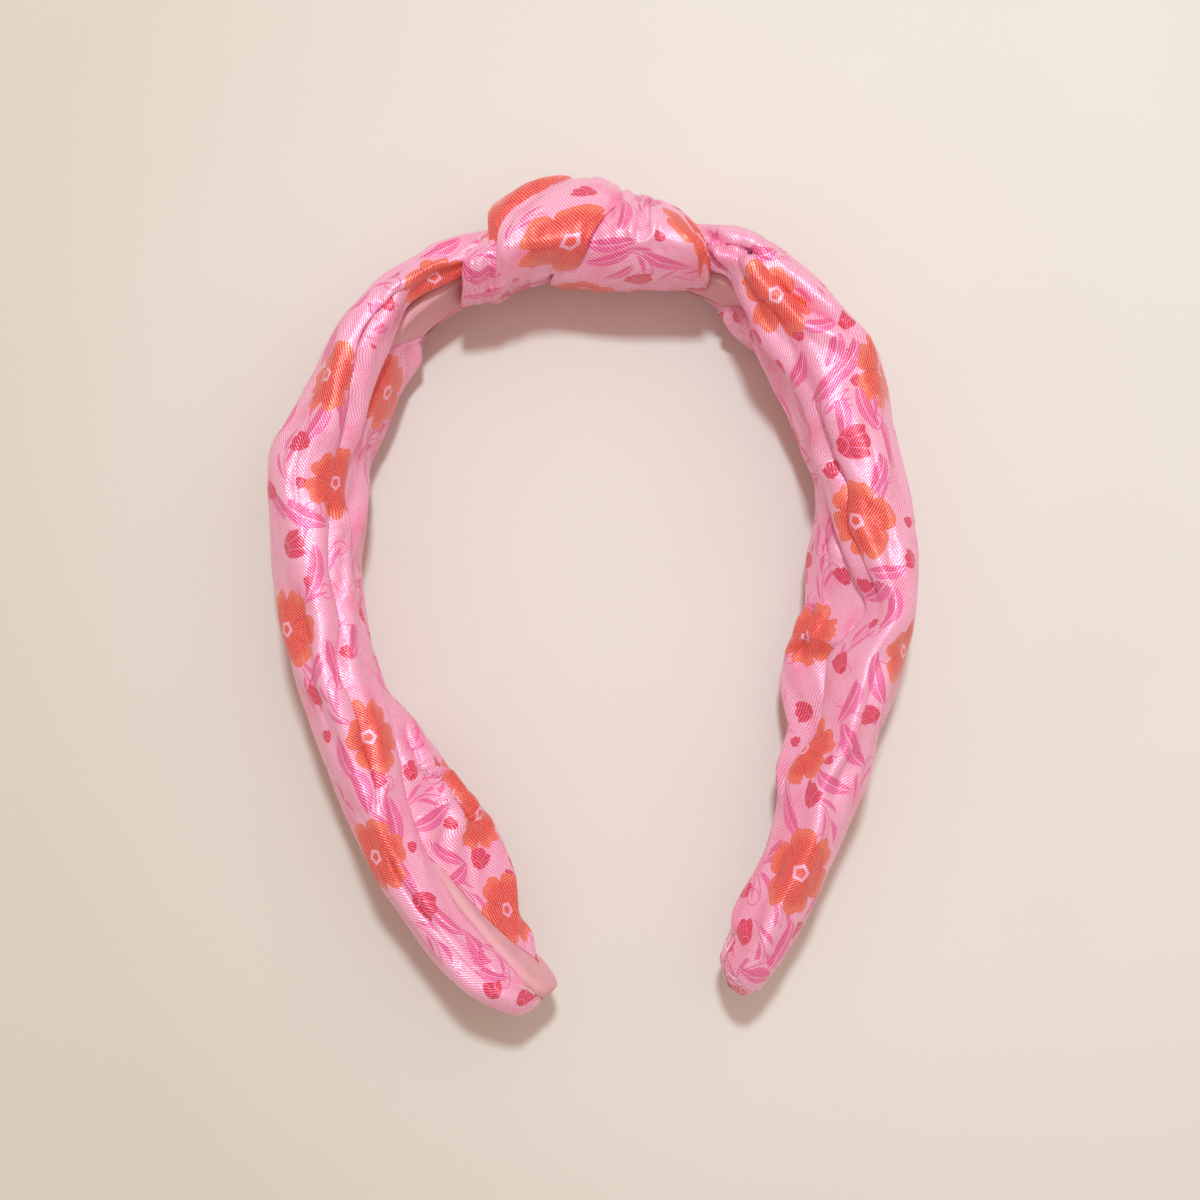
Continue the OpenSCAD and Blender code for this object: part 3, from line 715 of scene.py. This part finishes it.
def arm_cloth(side):
    """The grid of points of one arm's gathered fabric."""
    s0, s1 = ARM_ENDS[side]
    s = np.linspace(s0, s1, int((s1 - s0) / ROW_GAP))
    section = arm_outline(s, side)
    out, up = section[..., 0], section[..., 1]
    # gathers: long soft folds, deeper at the knot and at the tip
    xyz = place(side * s[:, None], out, up)
    w = arc_length(xyz, 1)
    gather = 1 - ramp(s, s0, s0 + 45) + 0.3 * ramp(s, s1 - 35, s1 - 8)
    hidden = ramp(-up, -4, 6)
    run, gather = s[:, None], gather[:, None]
    height = (0.2 + 0.4 * gather + 0.15 * hidden) * ripples(run, w, 11 + side, 90, 9)
    height += (0.34 - 0.12 * ramp(run, s0 + 50, s0 + 80)) * ripples(run, w, 41 + side, 30, 15)
    height += (0.03 + 0.1 * gather) * ripples(run, w, 21 + side, 26, 4)
    height += 0.015 * ripples(run, w, 31 + side, 9, 3.2)
    height *= ramp(w, 0, 6) * (1 - ramp(w, w[:, -1:] - 6, w[:, -1:]))
    height *= 1 - 0.85 * ramp(run, s1 - 16, s1 - 4)
    height *= 1 - 0.6 * hidden * ramp(run, s1 - 50, s1 - 30)
    xyz = xyz + height[..., None] * normals(xyz)
    for creases, upper in ((CREASES, True), (LOBE_CREASES, False)):
        for crease in creases[side]:
            xyz = pressed(xyz, out, s, *crease, upper=upper)
    # the last rows draw together and close the tip
    last, middle, away = xyz[-1], xyz[-1].mean(axis=0), (xyz[-1] - xyz[-2]).mean(axis=0)
    for share in (0.7, 0.3, 0.01):
        closing = middle + (last - middle) * share + away * (1 - share) * 0.5
        xyz = np.concatenate([xyz, closing[None]])
    xyz[..., 2] = np.maximum(xyz[..., 2], FLOOR_GAP)
    return xyz


def pressed(xyz, out, s, line, depth, width, lip, over, upper, fade=5.0):
    """One crease pressed into the upper layer, or into the lower lobe that shows beside it."""
    line = np.asarray(line, float)
    s0, s1 = line[0, 0], line[-1, 0]
    column = np.arange(xyz.shape[1])
    if upper:
        layer = (column >= UPPER_COLUMNS[0]) & (column <= UPPER_COLUMNS[1])
    else:
        layer = column >= xyz.shape[1] - LOBE_COLUMNS
    reach = ramp(s, s0 - 1, s0 + fade) * (1 - ramp(s, s1 - fade, s1 + 1))
    rows = np.where((reach > 0) & (s > s0 - 1) & (s < s1 + 1))[0]
    target = along(line, np.clip(s[rows], s0, s1))[:, 0]
    n = normals(xyz)
    w = arc_length(xyz, 1)
    across = np.gradient(xyz, axis=1)
    across /= np.maximum(np.linalg.norm(across, axis=2, keepdims=True), 1e-9)
    moved = xyz.copy()
    for k, row in enumerate(rows):
        gap = np.where(layer & (n[row, :, 2] > -0.2), np.abs(out[row] - target[k]), FAR)
        j = int(np.argmin(gap))
        if gap[j] > 2.5:
            continue
        step = 1.0 if upper else -1.0
        here = w[row, j] + step * (target[k] - out[row, j])
        d = (w[row] - here) * step * over
        valley = -depth * np.exp(-np.abs(d) / width)
        bulge = 0.5 * depth * np.exp(-((np.abs(d) - 2.8 * width) / (1.6 * width))**2)
        raised = lip * ramp(d, -0.3, 0.3) * np.exp(-np.maximum(d, 0) / (2.2 * width))
        pulled = 1.2 * lip * ramp(d, -0.1, 0.5) * np.exp(-np.maximum(d, 0) / (2.0 * width))
        moved[row] += reach[row] * ((valley + bulge + raised)[:, None] * n[row]
                                    - (pulled * step * over)[:, None] * across[row])
    return moved


# --- stage and the lights
def area_light(name, at, size, power, colour):
    """A square light that is aimed at the middle of the floor."""
    data = bpy.data.lights.new(name, "AREA")
    data.shape, data.size, data.energy, data.color = "SQUARE", size, power, colour
    light = bpy.data.objects.new(name, data)
    light.location = at
    aim = bpy.data.objects.new(name + "_aim", None)
    for thing in (light, aim):
        bpy.context.collection.objects.link(thing)
    track = light.constraints.new("TRACK_TO")
    track.target, track.track_axis, track.up_axis = aim, "TRACK_NEGATIVE_Z", "UP_Y"


def make_floor():
    m = Material("floor_paint", Roughness=0.75)
    coordinates = m.tree.nodes.new("ShaderNodeTexCoord").outputs["Object"]
    split = m.tree.nodes.new("ShaderNodeSeparateXYZ")
    m.tree.links.new(coordinates, split.inputs[0])
    x, y = (Field(m.tree, split.outputs[k]) for k in range(2))
    blotch = m.noise(coordinates, 14.0, 4.0)
    grain = m.noise(coordinates, 900.0, 2.0)
    colour = m.mix(blotch.between(0.35, 0.65, 0.2), srgb(219, 213, 205), srgb(221, 215, 207))
    # painted shade: the floor darkens outward, more to the left than to the right, as the lamps'
    # light falls off
    painted_falloff_shade = (x * -4.4 + y * -1.0 + (x * x + y * y) * 24.0 - 0.02).most(0.0).least(0.95)
    colour = m.mix(painted_falloff_shade * 0.55, colour, srgb(196, 184, 168))
    m.set("Base Color", colour)
    m.bump(grain + blotch * 2.0, 0.08, 0.0004)
    half = 3.0
    corners = [(x * half, y * half, 0) for x, y in ((-1, -1), (1, -1), (1, 1), (-1, 1))]
    mesh = bpy.data.meshes.new("floor")
    mesh.from_pydata(corners, [], [(0, 1, 2, 3)])
    floor = bpy.data.objects.new("floor", mesh)
    floor.data.materials.append(m.material)
    bpy.context.collection.objects.link(floor)


make_floor()
bpy.context.scene.view_settings.view_transform = "Standard"
world = bpy.data.worlds.new("studio")
world.use_nodes = True
sky = world.node_tree.nodes["Background"].inputs
sky["Color"].default_value, sky["Strength"].default_value = (1.0, 0.77, 0.67, 1), 0.61
bpy.context.scene.world = world
area_light("key", (0.02, 0.48, 1.20), 0.10, 10.4, (0.79, 0.95, 1.0))
area_light("fill", (0.5, 0.5, 1.2), 1.2, 2.6, (1.0, 0.98, 0.97))

# --- the knot
# Each pass of the knot goes round the band between two edges. left and right are rows of (y, x);
# reach is rows of (share across, ridge y, outmost y, inmost y, height); creases are rows of (x, y),
# then depth and width.
KNOT = {
    "knot_left_lobe": dict(
        left=[(58, -20.8), (61, -20.4), (65, -19.5), (71, -19), (73, -18.8), (76, -17.5), (80, -14),
              (83, -10), (86, -5.5), (88, -2)],
        right=[(58, -9.5), (62, -7.2), (64, -5.6), (66, -3.2), (68, -1.8), (71, -0.5), (74, 1),
               (77, 3), (80, 5.6), (83, 8.4), (88, 13)],
        reach=[(0, 70.2, 85.4, 60.8, 17.6), (0.15, 70.5, 86.0, 62.0, 18.4),
               (0.3, 70.9, 86.3, 63.4, 18.8), (0.6, 71.2, 85.3, 64.9, 19),
               (0.85, 71.4, 83.6, 65.4, 18.6), (1, 71.5, 81.6, 65.1, 18)],
        creases=[([(-19, 72.5), (-14.5, 78), (-10, 81.5)], 0.35, 0.8),
                 ([(-18.5, 62.5), (-12, 66), (-7, 66.2)], 0.35, 1.4)]),
    "knot_right_lobe": dict(
        left=[(58, -11.5), (62, -10.2), (66, -7.6), (71, -4.5), (76, -1.5), (80, 1), (84, 3)],
        right=[(58, 20.4), (61.2, 21.5), (63, 23.4), (66, 23.8), (70, 23), (73.5, 21.5), (76, 20),
               (79, 17.5), (84, 14)],
        reach=[(0, 71.6, 81.6, 63.8, 13.4), (0.2, 72.2, 82.4, 63.6, 15.4),
               (0.35, 72.4, 82.7, 63.0, 17.0), (0.48, 72.3, 82.9, 63.0, 17.2),
               (0.62, 72, 82.5, 63.2, 17.8), (0.8, 71.2, 81.6, 63.1, 17.8),
               (1, 70.2, 80.8, 62.6, 16.6)],
        creases=[([(9.4, 84), (9.2, 79), (9.3, 76), (9.9, 72.6)], 1.5, 0.8),
                 ([(12.6, 83), (11.6, 78), (10.6, 75), (10.1, 73)], 1.1, 0.7),
                 ([(4.2, 82), (3.9, 78), (3.4, 75)], 0.5, 0.8),
                 ([(6.6, 83), (6.7, 78), (7.2, 74.5)], -0.5, 1.1),
                 ([(10.2, 72), (12.5, 70), (16, 67.5)], 0.35, 1.6)]),
    "knot_under_pass": dict(
        left=[(58, -21.2), (66, -20.4), (74, -21), (77, -21.2), (79, -20.6), (81, -19.4),
              (83, -17.4), (84.8, -14.6), (86.6, -10)],
        right=[(58, -14), (70, -12), (76, -11), (80, -8), (84, -4), (88, 0)],
        reach=[(0, 70, 82.4, 61.8, 14), (0.25, 70.5, 86.2, 62.4, 15.4), (0.6, 71, 86.4, 63, 15.6),
               (1, 71.2, 85.4, 64, 14)],
        creases=[([(-19.8, 78.5), (-16.6, 82.6), (-12, 85.4)], 0.3, 0.6)]),
    "knot_neck_pass": dict(
        left=[(56, -29.6), (58.6, -28.2), (61, -26.6), (65, -26.2), (68, -26), (71.5, -25),
              (74, -23.4), (78, -20)],
        right=[(56, -18.2), (60, -17.5), (66, -16.5), (72, -15.5), (80, -12)],
        reach=[(0, 66.2, 73.6, 59.6, 13.4), (0.3, 67.4, 75.2, 60.2, 15),
               (0.6, 68.8, 77.6, 60.6, 15.4), (1, 70, 79.2, 61.6, 15)],
        creases=[([(-20.4, 66.5), (-20.8, 63), (-21.4, 59.5)], 0.7, 0.7),
                 ([(-26, 60.8), (-23.5, 61.8), (-20.6, 64.2)], 0.5, 0.7),
                 ([(-25.4, 71.4), (-22, 70.8), (-18.8, 71.6)], 0.45, 0.8)]),
}
KNOT_STEPS = 84
# how the rows at a pass's ends turn under: their share of the height, and how far in they lie
TURN = np.array([0.95, 0.86, 0.74, 0.62, 0.5, 0.42])
INWARD = np.array([0.15, 0.8, 2.0, 2.8, 3.2, 3.3])


def knot_cloth(left, right, reach, creases, seed):
    """The closed grid of points of one pass round the band."""
    share = np.concatenate([np.zeros(TURNED_ROWS), np.linspace(0, 1, KNOT_STEPS),
                            np.ones(TURNED_ROWS)])
    tuck = np.concatenate([TURN[::-1], np.ones(KNOT_STEPS), TURN])
    slip = np.concatenate([INWARD[::-1], np.zeros(KNOT_STEPS), -INWARD])
    ridge, most, least, tall = along(reach, share).T
    crown = 1 - 0.055 * np.abs(2 * share - 1)**5
    most, least = ridge + (most - ridge) * crown * tuck, ridge + (least - ridge) * crown * tuck
    tall = tall * crown * tuck

    top, foot = tall, -0.93 * tall
    loop = [(least, 0, foot, 1), (least, 0.55, foot, 0.86), (least, 0.9, foot, 0.5),
            (least, 1, top, -0.04), (least, 0.9, top, 0.44), (least, 0.55, top, 0.8),
            (least, 0.12, top, 0.985), (most, 0.12, top, 0.973), (most, 0.5, top, 0.80),
            (most, 0.86, top, 0.46), (most, 1, top, 0.02), (most, 0.88, foot, 0.5),
            (most, 0.5, foot, 0.86)]
    points = np.stack([np.stack([ridge + (y - ridge) * a, z * b], axis=1)
                       for y, a, z, b in loop], axis=1)
    section = outline(points, (10, 12, 14, 16, 14, 14, 5, 18, 18, 16, 14, 12, 12), closed=True)
    y, z = section[..., 0], section[..., 1]
    x0, x1 = (along(rows, np.clip(y, rows[0][0], rows[-1][0]).ravel())[:, 0].reshape(y.shape)
              for rows in (left, right))
    x = x0 + (x1 - x0) * share[:, None] + slip[:, None]
    xyz = np.stack([x, y, z + HOOP_Z], axis=2)
    n = normals(xyz, closed=True)
    angle = np.arctan2(z, y - ridge[:, None])
    u, w = share[:, None] * 30, np.cos(angle) * 9
    soft = 0.22 * np.sin(angle * 3 + share[:, None] * 4 + seed) * ramp(-z, -6, 6)
    soft = soft + 0.14 * ripples(u, w, seed, 16, 7) + 0.05 * ripples(u, w, seed + 1, 4, 3)
    edge = ramp(share, 0, 0.06) * (1 - ramp(share, 0.94, 1))
    xyz = xyz + (soft * edge[:, None])[..., None] * n
    for line, depth, width in creases:
        xyz = dent(xyz, normals(xyz, closed=True), line, depth, width)
    xyz[..., 2] = np.maximum(xyz[..., 2], FLOOR_GAP)
    return xyz


# --- the frayed cloth edges
# The cut edges that show, as lines of (x, y)
RAW_EDGES = {
    LEFT: [[(-15.2, -79.0), (-12.6, -80.4), (-11.2, -82.2), (-12.4, -83.6)]],
    RIGHT: [[(27.3, -69.1), (27.7, -71.0), (27.5, -73.2), (26.7, -75.4)],
            [(26.7, -75.6), (28.3, -76.9), (29.8, -78.2), (30.5, -79.8), (30.2, -81.3)]],
}


EDGE_POINTS = 40
LOOSE_THREADS = 46
SKEW = (0.31, 0.17, 0.94)  # a direction that no thread is expected to run in


def strand(path, radius):
    """Points and faces of a thin three-sided tube that tapers along a path."""
    run = np.gradient(path, axis=0)
    run /= np.maximum(np.linalg.norm(run, axis=1, keepdims=True), 1e-9)
    side = np.cross(run, SKEW)
    side /= np.maximum(np.linalg.norm(side, axis=1, keepdims=True), 1e-9)
    other = np.cross(run, side)
    thick = radius * np.linspace(1, 0.35, len(path))[:, None]
    rings = [path + thick * (side * math.cos(a) + other * math.sin(a)) for a in (0, 2.1, 4.2)]
    points = np.stack(rings, axis=1).reshape(-1, 3)
    faces = [(k + a, k + b, k + 3 + b, k + 3 + a) for k in range(0, len(points) - 3, 3)
             for a, b in ((0, 1), (1, 2), (2, 0))]
    end = len(points) - 3
    return points, faces + [(2, 1, 0), (end, end + 1, end + 2)]


def frayed(name, xyz, lines, material, seed):
    """Loose threads that stand out of a cloth's cut edge, along lines of (x, y)."""
    rng = np.random.default_rng(seed)
    n = normals(xyz)
    hidden = np.where(n[..., 2] > 0.1, 0, FAR)[..., None]
    points, faces = np.zeros((0, 3)), []

    def add(path, radius):
        nonlocal points
        more, more_faces = strand(path, radius)
        faces.extend(tuple(i + len(points) for i in face) for face in more_faces)
        points = np.concatenate([points, more])

    for line in lines:
        line = np.asarray(line, float)
        t = np.linspace(0, len(line) - 1, EDGE_POINTS)
        plan = np.stack([np.interp(t, np.arange(len(line)), line[:, k]) for k in (0, 1)], axis=1)
        gap = np.linalg.norm(xyz[..., None, :2] - plan, axis=3) + hidden
        nearest = gap.reshape(-1, len(plan)).argmin(axis=0)
        base = xyz.reshape(-1, 3)[nearest] + n.reshape(-1, 3)[nearest] * 0.12
        rim = base + rng.normal(0, 0.07, base.shape)
        for lift in (0.0, 0.22):
            add(rim + [0, 0, lift], 0.17)
        for k in rng.integers(0, len(base), LOOSE_THREADS):
            way = rng.normal(0, 1, 3) * [1, 1, 0.35] + [0, 0, 0.45]
            way /= np.linalg.norm(way)
            bend = rng.normal(0, 0.5, 3)
            reach = rng.uniform(0.5, 1.5)
            u = np.linspace(0, 1, 5)[:, None]
            add(base[k] + way * reach * u + bend * (reach * u * u * 0.5), 0.045)
    mesh = bpy.data.meshes.new(name)
    points[:, 2] = np.maximum(points[:, 2], FLOOR_GAP)
    mesh.from_pydata((points * MM).tolist(), [], faces)
    mesh.update()
    thing = bpy.data.objects.new(name, mesh)
    thing.data.materials.append(material)
    bpy.context.collection.objects.link(thing)
    return thing


# --- the lining and the hoop
BAND_H, BAND_T, LINING_T = 12, 2, 0.5
SEAM = 0.22  # how far the lining's two edge seams stand out
TIP_S = {side: sum(r * math.radians(a) for r, a in zip(RADII[side], SWEEPS[side]))
         for side in (LEFT, RIGHT)}


def band_bar(side, tall, thick, seam=0.0, steps=(40, 10)):
    """The closed grid of a leaning bar with full-round edges, from the crown to its rounded tip."""
    tip = tall / 2
    s = np.concatenate([np.linspace(0, TIP_S[side], int(TIP_S[side] / 1.2)),
                        TIP_S[side] + tip * np.sin(np.linspace(0.06, math.pi / 2 - 0.02, 14))])
    past = np.clip((s - TIP_S[side]) / tip, 0, 1)
    half = (tall / 2 - thick / 2) * np.sqrt(1 - past**2) + 1e-3
    flank, cap = steps
    up = np.concatenate([np.linspace(-1, 1, flank), np.ones(cap), np.linspace(1, -1, flank),
                         -np.ones(cap)])
    turn = np.linspace(0, math.pi, cap + 2)[1:-1]
    across = np.concatenate([-np.ones(flank), -np.cos(turn), np.ones(flank), np.cos(turn)])
    lift = np.concatenate([np.zeros(flank), np.sin(turn), np.zeros(flank), -np.sin(turn)])
    z = up[None, :] * half[:, None] + lift[None, :] * thick / 2
    y = across[None, :] * thick / 2 * np.ones_like(z)
    if seam:
        for edge in (1, -1):
            bead = np.exp(-((z - edge * (half[:, None] + 0.1)) / 0.34)**2) * (across < 0)
            y = y - seam * bead
    # the last rows draw together, so that the bar's end is closed
    last = len(s) - 1
    for share, reach in ((0.75, 0.16), (0.4, 0.24), (0.01, 0.28)):
        s = np.append(s, s[last] + reach)
        y, z = (np.concatenate([v, v[last:last + 1] * share]) for v in (y, z))
    c, k = math.cos(BAND_LEAN), math.sin(BAND_LEAN)
    return place(side * s[:, None], y * c + z * k, z * c - y * k)


def plain_cloth(name, colour, light, dark):
    """Smooth cloth for the lining, with its fine cross weave."""
    m = Material(name, Roughness=0.45, Sheen_Weight=0.3, Sheen_Roughness=0.35)
    (u, w, _), cloth = m.attribute("cloth")
    patches = m.noise(cloth, 0.12, 3.0)
    base = m.mix(patches.between(0.35, 0.65, 0.2), colour, light)
    weave = (u * (2 * math.pi / 0.42)).sin() * (w * (2 * math.pi / 0.36)).sin()
    slub = m.noise(cloth, 1.0, 2.0, stretch=(0.5, 4.0, 1))
    m.set("Base Color", m.mix((slub - 0.42) * 0.9, base, dark))
    m.bump(weave + slub * 1.6, 0.3, 0.00012)
    return m.material


def plastic(name, colour, gloss=0.45, grain=400.0):
    """A speckled material for what is moulded, glued or spun: grain is its fineness per metre."""
    m = Material(name, Roughness=gloss)
    coordinates = m.tree.nodes.new("ShaderNodeTexCoord").outputs["Object"]
    speck = m.noise(coordinates, grain, 3.0)
    cloud = m.noise(coordinates, grain / 8, 2.0)
    darker = [c * 0.86 for c in colour[:3]] + [1]
    m.set("Base Color", m.mix(cloud.between(0.3, 0.7, 0.2), colour, darker))
    m.set("Roughness", speck * 0.3 + (gloss - 0.15))
    m.bump(speck, 0.15, 0.0002)
    return m.material


# --- where the print falls
# Motifs on the top side: x, y as seen from above, size from the middle to the edge, and angle
TOP_PRINT = {
    "knot_left_lobe": {
        "flower": [(-4.3, 71.2, 10.9, 15)],
        "bud": [(-1.5, 81.2, 2.6, 70), (-15.3, 63.6, 1, 30)],
        "leaf": [(-13, 62, 4.5, 20), (-6.4, 83.5, 4.2, 125)],
        "sprig": [(-10, 61.5, 4.5, 10), (-14.5, 74, 4.8, 60)]},
    "knot_right_lobe": {
        "flower": [(24.2, 70.6, 7.4, 40), (-1.5, 60.4, 6.4, 0)],
        "bud": [(9.2, 63.6, 3.2, -90), (13.6, 72.4, 1.4, 80), (18.6, 79.8, 1.6, -30)],
        "leaf": [(3.4, 70.3, 5.5, 5), (3.6, 67.4, 5.2, 20), (6.5, 77.5, 5.2, 100),
            (12, 79.5, 5.8, 60), (5.6, 64.6, 4, 45), (14.5, 66.8, 5.5, -15)],
        "sprig": [(9.5, 67.5, 5.4, -35), (17, 64, 5, 10), (3, 77, 4.6, 80)]},
    "knot_under_pass": {
        "flower": [(-11, 79.4, 14, 0)]},
    "knot_neck_pass": {
        "bud": [(-22.4, 74.4, 2.6, 75)],
        "leaf": [(-22.6, 64, 6.8, 25), (-21.6, 60.6, 5.2, 18)],
        "sprig": [(-22.5, 68.6, 5, 20)]},
    "left": {
        "flower": [(-32, 64.2, 7.6, 10), (-53.6, 44.4, 7.8, 30), (-51.8, 23, 7.4, 0),
            (-41, 41, 8.4, 20), (-61.4, -6.8, 8.2, 15), (-45, -28.4, 8, 35), (-43.5, -52.5, 8, 0),
            (-22.5, -43.4, 7.6, 30), (-17.2, -62.8, 7.8, 10)],
        "bud": [(-58.5, 31, 2.6, 60), (-58.5, 23, 1.4, 100), (-60.5, 10.4, 3.4, -70),
            (-55.5, -20, 2.6, 80), (-53.5, -28, 1.5, 20), (-43.5, -37, 2.4, -60),
            (-51, -39.5, 2.2, 70), (-34, -62, 3.6, -110), (-36, -35, 2.4, 10),
            (-28.5, -45.5, 1.7, 60), (-22.6, -52.6, 2.8, -30), (-16.5, -56.5, 2.2, 80),
            (-36, -50.5, 1.3, 0), (-13.4, -80.6, 2.6, -40), (-20, -79, 2.4, 10),
            (-64.6, 21, 2.2, 90), (-41, 59.2, 2, 40), (-40, 64.4, 1.6, 60), (-46.5, 52.5, 1.4, 0),
            (-57, 3, 1.2, 0), (-49.5, -11, 1.6, 50)],
        "leaf": [(-50, 37.4, 5.8, 105), (-54.6, 35.4, 5.8, 60), (-63, 18.6, 5.8, -40),
            (-58.6, 16.4, 6.8, -25), (-47.5, -9, 5.2, 70), (-46, -38.4, 5.8, 110),
            (-32, -45, 5.8, 30), (-24, -72, 6, -35), (-39.5, -46, 6.2, 100), (-47, 60, 5.5, 50),
            (-43.6, 57, 4.5, 30), (-52.6, 51, 5.2, 70), (-30, 69.8, 5, 30), (-24, 71.4, 4.5, 15),
            (-55.6, 5, 5.8, 80), (-52, -13, 5.2, 110), (-55.6, -15, 5, 60), (-50, -33, 5.5, -70),
            (-38, -56.5, 5.5, -60), (-29.6, -52, 5.2, -20), (-27, -56.5, 5, 40),
            (-29.4, -65.5, 5.2, -40), (-62, 36, 5.2, 70), (-21, -76, 4.5, -20)],
        "sprig": [(-47, 64, 6.4, 40), (-55, 39, 5.6, 60), (-61, 28, 5.6, 80),
            (-57.6, 13, 6.2, 100), (-57, -1, 5.4, 60), (-52, 6, 5.4, 95), (-58, -17, 5.8, -70),
            (-51, -22, 5.6, 120), (-49.5, -44, 5.8, -60), (-41.4, -42, 5.4, 110),
            (-34, -41, 5.6, 20), (-27, -60, 5.6, -50), (-33, -69, 5.8, -50),
            (-19, -72.5, 5.4, -30), (-35.5, -26, 5.4, -50)]},
    "right": {
        "flower": [(37, 60.6, 8.8, 20), (59.6, 46, 8, 10), (53, 15.2, 8.8, 5), (43, -8, 8, 25),
            (62.6, -11, 7.8, 0), (42.6, -30.5, 7.6, 15), (42, -55.5, 9.2, 15)],
        "bud": [(40.8, 53, 2.2, 40), (46.6, 62, 1.3, 0), (51, 56, 2.6, -50), (52.6, 31, 4.2, -80),
            (52.8, 43.5, 1.4, 30), (48.5, 25.5, 2.2, 20), (63.4, 15, 1.3, 10),
            (64.2, 7.5, 2.4, 85), (50.5, 4, 2.2, 40), (43.5, 7, 2, 70), (54.5, 2, 2, 0),
            (56.5, -5.5, 1.4, 60), (49.5, -13.6, 2.6, 30), (42.5, -23, 2.6, 110),
            (56, -24, 2.5, 70), (40.6, -29, 1.3, 0), (47.5, -33, 1.3, 40), (44, -40, 3, -30),
            (30.2, -67.4, 3.2, 20), (41.4, -67, 2.6, 75), (29, -78.6, 3.2, 60),
            (28.6, 56, 1.8, -40), (32.4, 51.6, 2, 60), (37, 46, 2.2, 30)],
        "leaf": [(51.4, 47, 6.8, 48), (47, 42, 6, 40), (42, 45, 5.5, 60), (43.2, 33.4, 5.8, 80),
            (57.6, 0.6, 6, 50), (52.4, -31, 6.8, -60), (38, -71, 6.8, 60), (60, 30, 6, 100),
            (58, 25, 5.5, 70), (49, 49.6, 5.5, 80), (46, 54.4, 5.2, 10), (33, 68.6, 5.8, -20),
            (55, 37.6, 5.8, -60), (50.6, 36.6, 5.5, 100), (47.2, 13, 5.2, 90),
            (44.6, 12, 4.8, 110), (59.4, 5, 5, 20), (61, -2, 5.5, 80), (57, -17, 6, -80),
            (52.4, -21, 5.8, 60), (48, -38, 5.5, -30), (39.6, -44.5, 5.5, -60),
            (36, -51.6, 4.8, 30), (47.6, -62, 5.5, 65), (33.4, -76.6, 5.2, -10),
            (25.4, 72.4, 5.5, -10)],
        "sprig": [(42, 66.4, 6.2, -30), (56.6, 40.5, 6.2, -60), (47.6, 37.5, 5.8, 60),
            (58.6, 20, 5.6, 100), (60.6, -17.6, 6, -70), (47, 2.6, 5.4, 80), (52.6, -10, 5.6, 60),
            (50, -26, 6, -60), (54.4, -37, 5.8, 70), (46.6, -44.4, 5.8, -60), (40, -37, 5.4, 80),
            (33.4, -70.6, 6.4, -75), (36.6, -62.4, 5.2, -60), (32.6, -75.4, 5.6, 20),
            (42, 26, 5.4, 70)]},
}


SEED_STEP = 0.37


def printed(xyz, motifs, seed, closed=False):
    """The print of one piece: its listed motifs on top, and scattered ones where it faces away."""
    print_of = Print(xyz, closed)
    print_of.scatter(seed)
    for kind, places in motifs.items():
        for k, (x, y, size, angle) in enumerate(places):
            print_of.add(kind, (x, y), size, angle, seed=(k * SEED_STEP) % 1.0)
    return print_of


# --- the pieces
SATIN = satin("printed_satin")
LINING = plain_cloth("dusty_pink_lining", srgb(218, 152, 160), srgb(228, 168, 175),
                     srgb(196, 126, 136))
HOOP = plastic("moulded_hoop", srgb(214, 209, 200))
GLUE = plastic("glue", srgb(238, 228, 204), 0.3, 120.0)
FRAY = plastic("loose_threads", srgb(250, 214, 226), 0.5, 2500.0)
THREAD = plastic("thread", srgb(205, 82, 134), 0.6, 2500.0)


def across_flex(piece, side, before=4.0, after=4.0):
    """Bakes a piece's placement into its mesh. Where its arm flexes is worked out but not used."""
    ends = place(side * np.array([FLEX_S[side] - before, FLEX_S[side] + after]), 0, 0) * MM
    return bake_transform(piece)


for side, name in ((LEFT, "left"), (RIGHT, "right")):
    xyz = arm_cloth(side)
    piece = build(f"{name}_arm_wrap", xyz, SATIN, printed(xyz, TOP_PRINT[name], 5 + side))
    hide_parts(f"{name}_arm_fabric", f"{name}_end_tuck")
    across_flex(piece, side, 3.0, 5.0)
    threads = frayed(f"{name}_tip_threads", xyz, RAW_EDGES[side], FRAY, 90 + side)
    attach(threads, ARM_BODY[side])
    xyz = band_bar(side, BAND_H + 2 * LINING_T, BAND_T + 2 * LINING_T, SEAM)
    piece = build(f"lining_{name}", xyz, LINING, closed=True)
    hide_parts(f"lining_{name}_arm", "lining_crown")
    across_flex(piece, side)
    xyz = band_bar(side, BAND_H, BAND_T, steps=(16, 6))
    piece = build(f"hoop_{name}", xyz, HOOP, closed=True)
    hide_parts(f"hoop_{name}_arm", "hoop_crown")
    across_flex(piece, side)

for k, (name, shape) in enumerate(KNOT.items()):
    xyz = knot_cloth(seed=40 + k, **shape)
    piece = build(name + "_cloth", xyz, SATIN, printed(xyz, TOP_PRINT[name], 60 + k, closed=True),
                  closed=True)
    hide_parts(name)
    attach(piece, "crown")

for node, material in (("knot_glue_line", GLUE), ("left_glue_line", GLUE),
                       ("right_glue_line", GLUE), ("knot_tack_stitches", THREAD)):
    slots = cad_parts[node].data.materials
    slots.clear()
    slots.append(material)
